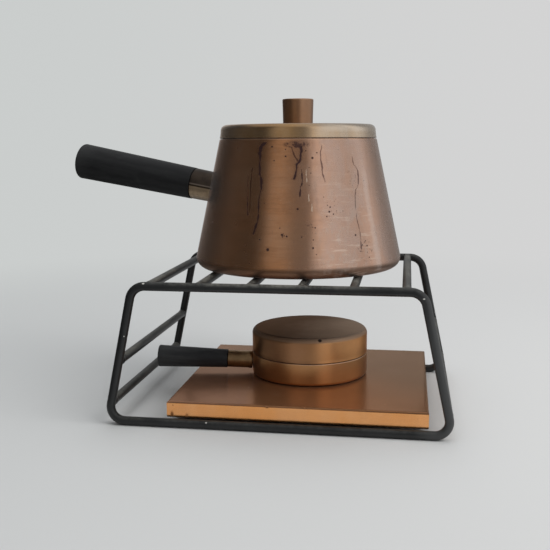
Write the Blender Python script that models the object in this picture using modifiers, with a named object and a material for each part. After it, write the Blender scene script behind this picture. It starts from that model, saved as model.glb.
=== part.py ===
"""Copper fondue set: a welded wire-rod stand, a copper-clad tray on its bottom rails, a spirit burner with a snuffer lid,
and a conical copper pot with a lid and a side handle.

Frame: metres, +Z up, the table is Z = 0, the stand's front loop faces -Y and both handles point towards -X.
The origin lies on the table under the centre of the whole set's bounding box."""

import math

import bmesh
import bpy
from mathutils import Matrix, Vector

MM = 0.001

# ---------------------------------------------------------------- driving dimensions, in millimetres
CENTRE_X = 33.2  # the stand's centre, to the right of the set's middle because of the pot handle

ROD_R = 3.4  # round rod
ROD_SIDES = 12
ROD_FLAT = ROD_R * math.cos(math.pi / ROD_SIDES)  # centre to facet
STAND_TOP_W = 214.7  # between leg centrelines, at the corners of the loop
STAND_BOTTOM_W = 259.5
STAND_H = 104.9  # between rail centrelines
STAND_DEPTH = 182.2  # front loop to rear loop
BEND_R = (10.5, 12.0)  # bottom bends, top bends, to the centreline
BAR_COUNT = 6
BAR_SPREAD = 190.2  # first bar to last bar
SIDE_ROD_Z = (50.0, 17.6)
GAP = 0.3  # between pieces that touch

TRAY_X = (-83.9, 112.8)  # from the stand's centre
TRAY_Y = (-88.3, 94.1)
TRAY_TOP_Z = 19.15
TRAY_SHEET = 0.8
TRAY_EDGE_R = 1.2

BURNER_X, BURNER_Y = 13.95, 11.0
BURNER_R = 48.7
BURNER_SHEET = 0.9
BOWL_H = 18.3
BURNER_H = 39.05
BURNER_EDGE_R = 4.3
BURNER_CROWN = 1.0
COLLAR_R = 47.35
COLLAR_SHEET = 0.7
WAD_R = 42.5
BURNER_HANDLE_Z = 27.45  # height of the handle's axis at the burner's centre
BURNER_HANDLE_SWING = 6.9  # degrees towards the front
BURNER_HANDLE_RISE = 2.1
BURNER_GRIP_FROM, BURNER_GRIP_TO = 70.3, 130.0  # from the burner's centre, along the handle
BURNER_GRIP_R = (7.69, 9.32)
BURNER_FERRULE_R = 7.25
BURNER_STUD_R = 2.0

POT_X, POT_Y = 4.35, 9.3
POT_BASE_R = 84.9
POT_TOP_R = 64.25
POT_SEAM_Z = 216.2
POT_EDGE_R = 8.0
POT_SHEET = 1.2
HANDLE_Z = 162.36  # height of the handle's axis at the pot's centre
HANDLE_SWING = -8.3
HANDLE_RISE = 10.1
GRIP_FROM, GRIP_TO = 94.3, 203.4
GRIP_R = (13.37, 15.43)
FERRULE_R = (12.5, 13.0)
FERRULE_SHEET = 1.0
STUD_R = 3.0

LID_R = (64.0, 63.35)  # bottom, top
LID_H = 11.0
LID_EDGE_R = 4.6
LID_CROWN = 0.5
LID_SHEET = 1.2
RING_R = 61.9
RING_SHEET = 0.8
RING_DROP = 6.5
KNOB_R = (12.2, 12.7)
KNOB_TOP_Z = 248.2

STEPS = 48  # facets round a large turned piece

# ---------------------------------------------------------------- derived heights
RAIL_Z = ROD_FLAT
TOP_RAIL_Z = RAIL_Z + STAND_H
GRID_TOP = TOP_RAIL_Z + ROD_FLAT
RAIL_TOP = 2 * ROD_FLAT
TRAY_BOTTOM = RAIL_TOP + GAP
BOWL_Z = TRAY_TOP_Z + GAP
BURNER_SEAM = BOWL_Z + BOWL_H
POT_Z = GRID_TOP + GAP
LID_Z = POT_SEAM_Z + GAP


# ---------------------------------------------------------------- helpers
def clear_scene():
    for o in list(bpy.data.objects):
        bpy.data.objects.remove(o, do_unlink=True)


def collection(name):
    c = bpy.data.collections.new(name)
    bpy.context.scene.collection.children.link(c)
    return c


def material(name, colour, roughness, metallic):
    m = bpy.data.materials.new(name)
    m.use_nodes = True
    b = m.node_tree.nodes["Principled BSDF"]
    b.inputs["Base Color"].default_value = (*colour, 1)
    b.inputs["Roughness"].default_value = roughness
    b.inputs["Metallic"].default_value = metallic
    m.diffuse_color = (*colour, 1)
    return m


clear_scene()
SET = collection("fondue_set")
CUTTERS = collection("cutters")
CUTTERS.hide_render = True

COPPER = material("copper", (0.55, 0.29, 0.16), 0.32, 1.0)
TIN = material("tin_lining", (0.62, 0.60, 0.56), 0.4, 1.0)
BRASS = material("ferrule_metal", (0.42, 0.30, 0.19), 0.35, 1.0)
BLACK_ROD = material("black_enamel", (0.03, 0.03, 0.032), 0.45, 0.0)
BLACK_GRIP = material("black_grip", (0.02, 0.02, 0.022), 0.5, 0.0)
STEEL = material("steel", (0.5, 0.5, 0.5), 0.35, 1.0)
BOARD = material("board", (0.35, 0.22, 0.12), 0.8, 0.0)
WADDING = material("wadding", (0.8, 0.78, 0.72), 0.95, 0.0)


def finish(o, mat, parent=None):
    """Links the object to the set, gives it its material and smooth shading, and parents it where it stands."""
    for c in list(o.users_collection):
        c.objects.unlink(o)
    SET.objects.link(o)
    o.data.materials.clear()
    o.data.materials.append(mat)
    if o.type == "MESH":
        o.data.shade_smooth()
        o.data.set_sharp_from_angle(angle=math.radians(35))
    if parent is not None:
        bpy.context.view_layer.update()
        o.parent = parent
        o.matrix_parent_inverse = parent.matrix_world.inverted()
    return o


def empty(name, x, y, z, parent=None):
    e = bpy.data.objects.new(name, None)
    e.empty_display_size = 0.02
    e.location = (x * MM, y * MM, z * MM)
    SET.objects.link(e)
    bpy.context.view_layer.update()
    if parent is not None:
        e.parent = parent
        e.matrix_parent_inverse = parent.matrix_world.inverted()
        bpy.context.view_layer.update()
    return e


def arc(cx, cy, r, a0, a1, n):
    """Points of an arc from angle a0 to a1 in degrees, both ends included."""
    return [
        (
            cx + r * math.cos(math.radians(a0 + (a1 - a0) * i / n)),
            cy + r * math.sin(math.radians(a0 + (a1 - a0) * i / n)),
        )
        for i in range(n + 1)
    ]


def turned(name, profile, matrix, steps=STEPS, closed=False):
    """A turned piece. The profile is (radius, height) in mm and runs down its outer side."""
    mesh = bpy.data.meshes.new(name)
    verts = [(r * MM, 0.0, z * MM) for r, z in profile]
    edges = [(i, i + 1) for i in range(len(verts) - 1)]
    if closed:
        edges.append((len(verts) - 1, 0))
    mesh.from_pydata(verts, edges, [])
    o = bpy.data.objects.new(name, mesh)
    SET.objects.link(o)
    o.matrix_world = matrix
    s = o.modifiers.new("turn", "SCREW")
    s.axis = "Z"
    s.steps = s.render_steps = steps
    s.use_merge_vertices = True
    s.merge_threshold = 0.00001
    s.use_smooth_shade = True
    return o


def as_mesh(o):
    """Applies a turned or curve object's modifiers, so that it can be cut."""
    bpy.context.view_layer.update()
    graph = bpy.context.evaluated_depsgraph_get()
    mesh = bpy.data.meshes.new_from_object(o.evaluated_get(graph))
    bm = bmesh.new()
    bm.from_mesh(mesh)
    bmesh.ops.remove_doubles(bm, verts=bm.verts, dist=0.000002)
    bmesh.ops.recalc_face_normals(bm, faces=bm.faces)
    bm.to_mesh(mesh)
    bm.free()
    made = bpy.data.objects.new(o.name + "_mesh", mesh)
    SET.objects.link(made)
    made.matrix_world = o.matrix_world.copy()
    name = o.name
    bpy.data.objects.remove(o, do_unlink=True)
    made.name = name
    return made


def as_cutter(o):
    for c in list(o.users_collection):
        c.objects.unlink(o)
    CUTTERS.objects.link(o)
    o.hide_render = True
    o.display_type = "WIRE"
    return o


def cut(o, cutter):
    b = o.modifiers.new("cut_" + cutter.name, "BOOLEAN")
    b.operation = "DIFFERENCE"
    b.solver = "EXACT"
    b.object = cutter
    return o


def cylinder(name, radius, a, b, sides=32, spin=0.0):
    """A closed cylinder from point a to point b, in mm. spin turns its facets about its axis, in radians."""
    a, b = Vector(a) * MM, Vector(b) * MM
    mesh = bpy.data.meshes.new(name)
    bm = bmesh.new()
    bmesh.ops.create_cone(
        bm,
        cap_ends=True,
        segments=sides,
        radius1=radius * MM,
        radius2=radius * MM,
        depth=(b - a).length,
    )
    bmesh.ops.rotate(bm, verts=bm.verts, matrix=Matrix.Rotation(spin, 3, "Z"))
    bm.to_mesh(mesh)
    bm.free()
    o = bpy.data.objects.new(name, mesh)
    SET.objects.link(o)
    o.matrix_world = Matrix.Translation((a + b) / 2) @ frame_along(b - a).to_4x4()
    return o


def frame_along(direction):
    """A rotation whose Z runs along direction, and whose X stays level."""
    z = Vector(direction).normalized()
    x = Vector((0, 0, 1)).cross(z)
    x = Vector((1, 0, 0)) if x.length < 1e-6 else x.normalized()
    y = z.cross(x)
    return Matrix((x, y, z)).transposed()


def handle_matrix(x, y, z, swing, rise):
    """Z runs outwards along a handle's axis, from the centre of the vessel."""
    s, e = math.radians(swing), math.radians(rise)
    d = Vector((-math.cos(s) * math.cos(e), -math.sin(s) * math.cos(e), math.sin(e)))
    return Matrix.Translation(Vector((x, y, z)) * MM) @ frame_along(d).to_4x4()


def upright(x, y):
    return Matrix.Translation(Vector((x, y, 0)) * MM)


# ---------------------------------------------------------------- stand
STAND = empty("stand_base", CENTRE_X, 0, 0)


def loop_points(segments=6):
    """Centreline of one loop in (x, z), anticlockwise from the bottom left bend: a trapezoid with round corners."""
    corners = [
        (-STAND_BOTTOM_W / 2, RAIL_Z),
        (STAND_BOTTOM_W / 2, RAIL_Z),
        (STAND_TOP_W / 2, TOP_RAIL_Z),
        (-STAND_TOP_W / 2, TOP_RAIL_Z),
    ]
    points = []
    for i, c in enumerate(corners):
        c = Vector(c)
        before = (Vector(corners[i - 1]) - c).normalized()
        after = (Vector(corners[(i + 1) % 4]) - c).normalized()
        half = before.angle(after) / 2
        bend = BEND_R[i // 2]
        reach = bend / math.tan(half)
        centre = c + (before + after).normalized() * (bend / math.sin(half))
        start, end = c + before * reach - centre, c + after * reach - centre
        turn = math.pi - 2 * half
        a0 = math.atan2(start.y, start.x)
        for k in range(segments + 1):
            a = a0 + turn * k / segments
            points.append(
                (centre.x + bend * math.cos(a), centre.y + bend * math.sin(a))
            )
    return points


def frame_loop(name, y):
    curve = bpy.data.curves.new(name, "CURVE")
    curve.dimensions = "3D"
    curve.bevel_depth = ROD_R * MM
    curve.bevel_resolution = (ROD_SIDES - 4) // 2
    curve.use_fill_caps = True
    spline = curve.splines.new("POLY")
    points = loop_points()
    spline.points.add(len(points) - 1)
    for p, (x, z) in zip(spline.points, points):
        p.co = ((x + CENTRE_X) * MM, y * MM, z * MM, 1)
        p.tilt = math.pi / ROD_SIDES  # a facet faces down, so that the rail rests flat
    spline.use_cyclic_u = True
    o = bpy.data.objects.new(name, curve)
    SET.objects.link(o)
    return finish(as_mesh(o), BLACK_ROD, STAND)


HALF_D = STAND_DEPTH / 2
front_loop = frame_loop("frame_front_loop", -HALF_D)
rear_loop = frame_loop("frame_rear_loop", HALF_D)


def leg_x(z):
    """Distance of a leg's centreline from the stand's centre at height z."""
    t = (z - RAIL_Z) / STAND_H
    return (STAND_BOTTOM_W + (STAND_TOP_W - STAND_BOTTOM_W) * t) / 2


def cope(name, a, b):
    """A cutter that leaves the fish-mouth by which a rod meets a rail or a leg."""
    return as_cutter(cylinder(name, ROD_R + GAP, a, b, sides=24))


rail_cutters = [
    cope(
        f"cope_rail_{n}",
        (CENTRE_X - 130, y, TOP_RAIL_Z),
        (CENTRE_X + 130, y, TOP_RAIL_Z),
    )
    for n, y in (("front", -HALF_D), ("rear", HALF_D))
]
for i in range(BAR_COUNT):
    x = CENTRE_X + BAR_SPREAD * (i / (BAR_COUNT - 1) - 0.5)
    bar = cylinder(
        f"grid_bar_{i + 1}",
        ROD_R,
        (x, -HALF_D + 1, TOP_RAIL_Z),
        (x, HALF_D - 1, TOP_RAIL_Z),
        ROD_SIDES,
        math.pi / ROD_SIDES,
    )
    for c in rail_cutters:
        cut(bar, c)
    finish(bar, BLACK_ROD, STAND)

for side, sign in (("left", -1), ("right", 1)):
    leg_cutters = [
        cope(
            f"cope_leg_{side}_{n}",
            (CENTRE_X + sign * leg_x(-5), y, -5),
            (CENTRE_X + sign * leg_x(85), y, 85),
        )
        for n, y in (("front", -HALF_D), ("rear", HALF_D))
    ]
    for level, z in zip(("upper", "lower"), SIDE_ROD_Z):
        x = CENTRE_X + sign * leg_x(z)
        rod = cylinder(
            f"side_rod_{side}_{level}",
            ROD_R,
            (x, -HALF_D + 1, z),
            (x, HALF_D - 1, z),
            ROD_SIDES,
            math.pi / ROD_SIDES,
        )
        for c in leg_cutters:
            cut(rod, c)
        finish(rod, BLACK_ROD, STAND)

# ---------------------------------------------------------------- tray: copper sheet folded down over a board
TRAY = empty("tray_base", CENTRE_X + sum(TRAY_X) / 2, sum(TRAY_Y) / 2, TRAY_BOTTOM)


def block(name, x0, x1, y0, y1, z0, z1):
    mesh = bpy.data.meshes.new(name)
    bm = bmesh.new()
    bmesh.ops.create_cube(bm, size=1.0)
    bmesh.ops.scale(
        bm,
        vec=Vector(((x1 - x0) * MM, (y1 - y0) * MM, (z1 - z0) * MM)),
        verts=bm.verts,
    )
    bm.to_mesh(mesh)
    bm.free()
    o = bpy.data.objects.new(name, mesh)
    o.location = Vector(((x0 + x1) / 2, (y0 + y1) / 2, (z0 + z1) / 2)) * MM
    SET.objects.link(o)
    bpy.context.view_layer.update()
    return o


tx0, tx1 = CENTRE_X + TRAY_X[0], CENTRE_X + TRAY_X[1]
ty0, ty1 = TRAY_Y
hollow = as_cutter(
    block(
        "tray_hollow",
        tx0 + TRAY_SHEET,
        tx1 - TRAY_SHEET,
        ty0 + TRAY_SHEET,
        ty1 - TRAY_SHEET,
        TRAY_BOTTOM - 5,
        TRAY_TOP_Z - TRAY_SHEET,
    )
)
cover = block("tray_copper_cover", tx0, tx1, ty0, ty1, TRAY_BOTTOM, TRAY_TOP_Z)
bevel = cover.modifiers.new("folded_edges", "BEVEL")
bevel.width = TRAY_EDGE_R * MM
bevel.segments = 3
bevel.limit_method = "WEIGHT"
weight = cover.data.attributes.new("bevel_weight_edge", "FLOAT", "EDGE")
for e in cover.data.edges:
    zs = [cover.data.vertices[v].co.z for v in e.vertices]
    weight.data[e.index].value = 0.0 if max(zs) < 0 else 1.0
cut(cover, hollow)
finish(cover, COPPER, TRAY)
inset = TRAY_SHEET + GAP
finish(
    block(
        "tray_core_board",
        tx0 + inset,
        tx1 - inset,
        ty0 + inset,
        ty1 - inset,
        TRAY_BOTTOM,
        TRAY_TOP_Z - inset,
    ),
    BOARD,
    TRAY,
)

# ---------------------------------------------------------------- burner
BX, BY = CENTRE_X + BURNER_X, BURNER_Y
BURNER = empty("burner_base", BX, BY, BOWL_Z, TRAY)
at_burner = upright(BX, BY)
burner_axis = handle_matrix(
    BX, BY, BURNER_HANDLE_Z, BURNER_HANDLE_SWING, BURNER_HANDLE_RISE
)


def point_on(matrix, s):
    """A point at distance s along a handle's axis, in mm."""
    return tuple(c / MM for c in matrix @ Vector((0, 0, s * MM)))


foot_r, inner_foot = 2.5, 1.6
bowl = turned(
    "burner_bowl",
    [(0, BOWL_Z + BURNER_SHEET)]
    + arc(
        BURNER_R - BURNER_SHEET - inner_foot,
        BOWL_Z + BURNER_SHEET + inner_foot,
        inner_foot,
        -90,
        0,
        3,
    )
    + [(BURNER_R - BURNER_SHEET, BURNER_SEAM), (BURNER_R, BURNER_SEAM)]
    + arc(BURNER_R - foot_r, BOWL_Z + foot_r, foot_r, 0, -90, 4)
    + [(0, BOWL_Z)],
    at_burner,
)
bowl = as_mesh(bowl)
cut(
    bowl,
    as_cutter(
        cylinder(
            "burner_stud_hole",
            BURNER_STUD_R + GAP,
            point_on(burner_axis, 40),
            point_on(burner_axis, 60),
            16,
        )
    ),
)
finish(bowl, COPPER, BURNER)

collar = turned(
    "burner_collar",
    [
        (COLLAR_R - COLLAR_SHEET, BURNER_SEAM - 4.5),
        (COLLAR_R - COLLAR_SHEET, BURNER_SEAM + 5.0),
        (COLLAR_R, BURNER_SEAM + 5.0),
        (COLLAR_R, BURNER_SEAM - 4.5),
    ],
    at_burner,
    closed=True,
)
finish(collar, COPPER, BURNER)

wad_z = BOWL_Z + BURNER_SHEET + GAP
wad_top = BOWL_Z + 13.6
wadding = turned(
    "burner_wadding",
    [(0, wad_top)]
    + arc(WAD_R - 2, wad_top - 2, 2, 90, 0, 2)
    + arc(WAD_R - 2, wad_z + 2, 2, 0, -90, 2)
    + [(0, wad_z)],
    at_burner,
    steps=32,
)
finish(wadding, WADDING, BURNER)

# the gauze sits in the collar's foot: a disc with a turned-up rim that holds the wadding down
gauze_z = BOWL_Z + 13.9
gauze_r = COLLAR_R - COLLAR_SHEET - 0.4
gauze = turned(
    "burner_gauze",
    [
        (0, gauze_z + 0.8),
        (gauze_r - 0.8, gauze_z + 0.8),
        (gauze_r - 0.8, gauze_z + 2.6),
        (gauze_r, gauze_z + 2.6),
        (gauze_r, gauze_z),
        (0, gauze_z),
    ],
    at_burner,
    steps=48,
)
finish(gauze, STEEL, BURNER)

snuffer_z = BURNER_SEAM + GAP
snuffer_top = BOWL_Z + BURNER_H


def crowned(r_edge, z_edge, crown, n=4):
    """A shallow dome from the centre out to r_edge."""
    return [
        (r_edge * i / n, z_edge + crown * (1 - (i / n) ** 2)) for i in range(n + 1)
    ]


SNUFFER = empty("snuffer_base", BX, BY, snuffer_z, BURNER)
er = BURNER_EDGE_R
ir = er - BURNER_SHEET
snuffer = turned(
    "burner_snuffer_lid",
    crowned(BURNER_R - er, snuffer_top, BURNER_CROWN)[:-1]
    + arc(BURNER_R - er, snuffer_top - er, er, 90, 0, 5)
    + [
        (BURNER_R, snuffer_z),
        (BURNER_R - BURNER_SHEET, snuffer_z),
    ]
    + arc(BURNER_R - er, snuffer_top - er, ir, 0, 90, 4)[:-1]
    + crowned(BURNER_R - er, snuffer_top - BURNER_SHEET, BURNER_CROWN)[::-1],
    at_burner,
)
finish(snuffer, COPPER, SNUFFER)

# handle of the burner: ferrule coped to the bowl, turned grip, and the stud that holds them
ferrule = turned(
    "burner_handle_ferrule",
    [
        (BURNER_FERRULE_R - 0.8, 40),
        (BURNER_FERRULE_R - 0.8, BURNER_GRIP_FROM - GAP),
        (BURNER_FERRULE_R, BURNER_GRIP_FROM - GAP),
        (BURNER_FERRULE_R, 40),
    ],
    burner_axis,
    steps=24,
    closed=True,
)
ferrule = as_mesh(ferrule)
cut(
    ferrule,
    as_cutter(
        as_mesh(
            turned(
                "burner_cope",
                [
                    (0, 60),
                    (BURNER_R + GAP, 60),
                    (BURNER_R + GAP, 5),
                    (0, 5),
                ],
                at_burner,
            )
        )
    ),
)
finish(ferrule, BRASS, BURNER)


def grip(name, s0, s1, r0, r1, edge, bore, depth, matrix):
    """A tapered grip from s0 to s1 along the handle, with a blind bore for the stud in its inner end."""
    return turned(
        name,
        [(0, s1)]
        + arc(r1 - edge, s1 - edge, edge, 90, 0, 3)
        + [(r0, s0 + 0.6), (r0 - 0.6, s0), (bore, s0), (bore, s0 + depth), (0, s0 + depth)],
        matrix,
        steps=28,
    )


finish(
    grip(
        "burner_handle_grip",
        BURNER_GRIP_FROM,
        BURNER_GRIP_TO,
        *BURNER_GRIP_R,
        1.2,
        BURNER_STUD_R + GAP,
        32,
        burner_axis,
    ),
    BLACK_GRIP,
    BURNER,
)
stud_in = BURNER_R - BURNER_SHEET - 0.5
finish(
    turned(
        "burner_handle_stud",
        [
            (0, BURNER_GRIP_FROM + 30),
            (BURNER_STUD_R, BURNER_GRIP_FROM + 30),
            (BURNER_STUD_R, stud_in),
            (3.1, stud_in),
            (3.1, stud_in - 1.5),
            (0, stud_in - 1.5),
        ],
        burner_axis,
        steps=16,
    ),
    STEEL,
    BURNER,
)

# ---------------------------------------------------------------- pot
PX, PY = CENTRE_X + POT_X, POT_Y
POT = empty("pot_base", PX, PY, POT_Z)
at_pot = upright(PX, PY)
pot_axis = handle_matrix(PX, PY, HANDLE_Z, HANDLE_SWING, HANDLE_RISE)
slope = math.degrees(
    math.atan2(POT_BASE_R - POT_TOP_R, POT_SEAM_Z - POT_Z - POT_EDGE_R)
)


def pot_profile(offset, bottom, top, n):
    """The pot's outer side, base to mouth, moved outwards by offset."""
    r, e = POT_BASE_R - POT_EDGE_R, POT_EDGE_R + offset
    return arc(r, POT_Z + POT_EDGE_R, e, -90, slope, n) + [
        (POT_TOP_R + offset / math.cos(math.radians(slope)), top)
    ]


pot = turned(
    "pot_body",
    [(0, POT_Z + POT_SHEET)]
    + pot_profile(-POT_SHEET, POT_Z, POT_SEAM_Z, 5)
    + pot_profile(0, POT_Z, POT_SEAM_Z, 6)[::-1]
    + [(0, POT_Z)],
    at_pot,
)
pot = as_mesh(pot)
cut(
    pot,
    as_cutter(
        cylinder(
            "pot_stud_hole", STUD_R + GAP, point_on(pot_axis, 55), point_on(pot_axis, 90), 20
        )
    ),
)
finish(pot, COPPER, POT)

handle_ferrule = turned(
    "pot_handle_ferrule",
    [
        (FERRULE_R[0] - FERRULE_SHEET, 66),
        (FERRULE_R[1] - FERRULE_SHEET, GRIP_FROM - GAP),
        (FERRULE_R[1], GRIP_FROM - GAP),
        (FERRULE_R[0], 66),
    ],
    pot_axis,
    steps=28,
    closed=True,
)
handle_ferrule = as_mesh(handle_ferrule)
cut(
    handle_ferrule,
    as_cutter(
        as_mesh(
            turned(
                "pot_cope",
                [(0, POT_SEAM_Z)]
                + pot_profile(GAP, POT_Z, POT_SEAM_Z, 6)[::-1]
                + [(0, POT_Z - GAP)],
                at_pot,
            )
        )
    ),
)
finish(handle_ferrule, BRASS, POT)
finish(
    grip(
        "pot_handle_grip",
        GRIP_FROM,
        GRIP_TO,
        *GRIP_R,
        1.6,
        STUD_R + GAP,
        48,
        pot_axis,
    ),
    BLACK_GRIP,
    POT,
)


def wall_distance(matrix, radius_at):
    """Distance along a handle's axis at which it meets a vessel's wall."""
    s = 40.0
    while True:
        x, y, z = point_on(matrix, s)
        if math.hypot(x - PX, y - PY) >= radius_at(z):
            return s
        s += 0.01


inner_wall = wall_distance(
    pot_axis,
    lambda z: POT_TOP_R
    - POT_SHEET / math.cos(math.radians(slope))
    + (POT_SEAM_Z - z) * math.tan(math.radians(slope)),
)
head = inner_wall - 1.0
finish(
    turned(
        "pot_handle_stud",
        [(0, GRIP_FROM + 45), (STUD_R, GRIP_FROM + 45), (STUD_R, head), (6.0, head)]
        + [(5.4, head - 1.4), (3.6, head - 2.2), (0, head - 2.5)],
        pot_axis,
        steps=20,
    ),
    STEEL,
    POT,
)

# ---------------------------------------------------------------- lid of the pot
LID = empty("lid_base", PX, PY, LID_Z, POT)
lid_top = LID_Z + LID_H
le, li = LID_EDGE_R, LID_EDGE_R - LID_SHEET
hole_r = 2.3
lid = turned(
    "lid_shell",
    [(hole_r, lid_top + LID_CROWN), (16, lid_top + LID_CROWN)]
    + crowned(LID_R[1] - le, lid_top, LID_CROWN)[2:-1]
    + arc(LID_R[1] - le, lid_top - le, le, 90, 0, 5)
    + [(LID_R[0], LID_Z), (LID_R[0] - LID_SHEET, LID_Z)]
    + arc(LID_R[1] - le, lid_top - le, li, 0, 90, 4)[:-1]
    + crowned(LID_R[1] - le, lid_top - LID_SHEET, LID_CROWN)[2:][::-1]
    + [
        (16, lid_top + LID_CROWN - LID_SHEET),
        (hole_r, lid_top + LID_CROWN - LID_SHEET),
    ],
    at_pot,
    closed=True,
)
finish(lid, COPPER, LID)
ring = turned(
    "lid_locating_ring",
    [
        (RING_R - RING_SHEET, POT_SEAM_Z - RING_DROP),
        (RING_R - RING_SHEET, LID_Z + 5.5),
        (RING_R, LID_Z + 5.5),
        (RING_R, POT_SEAM_Z - RING_DROP),
    ],
    at_pot,
    closed=True,
)
finish(ring, COPPER, LID)

knob_z = lid_top + LID_CROWN + GAP
finish(
    turned(
        "lid_knob",
        [(0, KNOB_TOP_Z)]
        + arc(KNOB_R[1] - 1.0, KNOB_TOP_Z - 1.0, 1.0, 90, 0, 3)
        + [
            (KNOB_R[0], knob_z),
            (2.3, knob_z),
            (2.3, knob_z + 12),
            (0, knob_z + 12),
        ],
        at_pot,
        steps=32,
    ),
    COPPER,
    LID,
)
under = lid_top + LID_CROWN - LID_SHEET - GAP
finish(
    turned(
        "knob_washer",
        [(2.3, under - 0.9), (2.3, under), (6.0, under), (6.0, under - 0.9)],
        at_pot,
        steps=24,
        closed=True,
    ),
    STEEL,
    LID,
)
screw_z = under - 0.9 - GAP
finish(
    turned(
        "knob_screw",
        [
            (0, knob_z + 11),
            (2.0, knob_z + 10.4),
            (2.0, screw_z),
            (4.2, screw_z),
            (4.2, screw_z - 1.8),
            (3.4, screw_z - 2.6),
            (0, screw_z - 2.6),
        ],
        at_pot,
        steps=20,
    ),
    STEEL,
    LID,
)
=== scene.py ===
"""Looks of the copper fondue set: smooth turned copper, black wire stand, and worn materials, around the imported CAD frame.

Lengths are in millimetres in this file's outlines and become metres when a mesh is made."""

import math
import random

import bpy
import numpy as np
from mathutils import Matrix, Vector


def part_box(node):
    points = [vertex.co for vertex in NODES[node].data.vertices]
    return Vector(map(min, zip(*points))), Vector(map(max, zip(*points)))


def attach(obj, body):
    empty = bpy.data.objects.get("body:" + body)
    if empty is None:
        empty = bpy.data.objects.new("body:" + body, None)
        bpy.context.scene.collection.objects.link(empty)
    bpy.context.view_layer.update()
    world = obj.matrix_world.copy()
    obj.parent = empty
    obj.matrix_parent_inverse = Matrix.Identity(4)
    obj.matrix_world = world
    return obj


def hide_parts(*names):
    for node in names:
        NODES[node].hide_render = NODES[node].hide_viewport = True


MM = 0.001
random.seed(11)

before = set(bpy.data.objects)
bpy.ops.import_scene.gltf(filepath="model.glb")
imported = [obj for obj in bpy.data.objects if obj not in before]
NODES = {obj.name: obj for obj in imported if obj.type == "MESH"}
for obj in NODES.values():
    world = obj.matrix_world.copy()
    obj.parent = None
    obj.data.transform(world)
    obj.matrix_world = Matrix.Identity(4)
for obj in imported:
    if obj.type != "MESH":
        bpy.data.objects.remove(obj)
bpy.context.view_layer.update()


def corners(node):
    lo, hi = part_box(node)
    return [c / MM for c in lo], [c / MM for c in hi]


def middle(node):
    lo, hi = corners(node)
    return [(a + b) / 2 for a, b in zip(lo, hi)]


# ------------------------------------------------------------------ places, read from the frame
CX = middle("frame_front_loop")[0]
HALF_D = middle("frame_rear_loop")[1]
PX, PY = middle("lid_shell")[:2]
BX, BY = middle("burner_snuffer_lid")[:2]
POT_Z, POT_SEAM = corners("pot_body")[0][2], corners("pot_body")[1][2]
LID_Z, LID_TOP = corners("lid_shell")[0][2], corners("lid_shell")[1][2]
KNOB_Z, KNOB_TOP = corners("lid_knob")[0][2], corners("lid_knob")[1][2]
BOWL_Z, BOWL_TOP = corners("burner_bowl")[0][2], corners("burner_bowl")[1][2]
CAP_Z, CAP_TOP = corners("burner_snuffer_lid")[0][2], corners("burner_snuffer_lid")[1][2]
TRAY_LO, TRAY_HI = corners("tray_copper_cover")
GRID_Z = middle("grid_bar_3")[2]
ROD_HALF = corners("frame_front_loop")[1][2] - GRID_Z
RAIL_Z = corners("frame_front_loop")[0][2] + ROD_HALF

ROD_R = 3.35  # a round rod as thick as the CAD's twelve-sided one
BEND_R = (10.5, 12.0)


# ------------------------------------------------------------------ mesh helpers
def arc(cx, cy, r, a0, a1, n):
    return [
        (
            cx + r * math.cos(math.radians(a0 + (a1 - a0) * i / n)),
            cy + r * math.sin(math.radians(a0 + (a1 - a0) * i / n)),
        )
        for i in range(n + 1)
    ]


def rounded(points, radii, closed=False, n=6, guard=0.35):
    """An outline with its corners rounded, and a guard point on each side of every arc so that flats shade flat."""
    pts = [Vector(p) for p in points]
    count = len(pts)
    out = []
    for i, p in enumerate(pts):
        r = radii[i]
        if r <= 0 or (not closed and i in (0, count - 1)):
            out.append(tuple(p))
            continue
        a, b = pts[i - 1] - p, pts[(i + 1) % count] - p
        la, lb = a.length, b.length
        a.normalize()
        b.normalize()
        half = a.angle(b) / 2
        if half > math.radians(89):
            out.append(tuple(p))
            continue
        reach = min(r / math.tan(half), 0.46 * la, 0.46 * lb)
        r = reach * math.tan(half)
        g = min(guard, 0.3 * reach + 0.02)
        centre = p + (a + b).normalized() * (r / math.sin(half))
        s, e = p + a * reach - centre, p + b * reach - centre
        turn = s.angle_signed(e)
        out.append(tuple(p + a * (reach + g)))
        for k in range(n + 1):
            t = -turn * k / n
            c, d = math.cos(t), math.sin(t)
            out.append((centre.x + s.x * c - s.y * d, centre.y + s.x * d + s.y * c))
        out.append(tuple(p + b * (reach + g)))
    return out


def new_object(name, verts, faces, matrix=None, smooth_angle=40):
    mesh = bpy.data.meshes.new(name)
    mesh.from_pydata([tuple(c * MM for c in v) for v in verts], [], faces)
    mesh.validate()
    mesh.update()
    o = bpy.data.objects.new(name, mesh)
    bpy.context.scene.collection.objects.link(o)
    if matrix is not None:
        o.matrix_world = matrix
    mesh.shade_smooth()
    if smooth_angle:
        mesh.set_sharp_from_angle(angle=math.radians(smooth_angle))
    return o


def signed_volume(verts, faces):
    v = np.array(verts, float)
    total = 0.0
    for f in faces:
        for k in range(1, len(f) - 1):
            total += float(np.dot(v[f[0]], np.cross(v[f[k]], v[f[k + 1]])))
    return total


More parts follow.
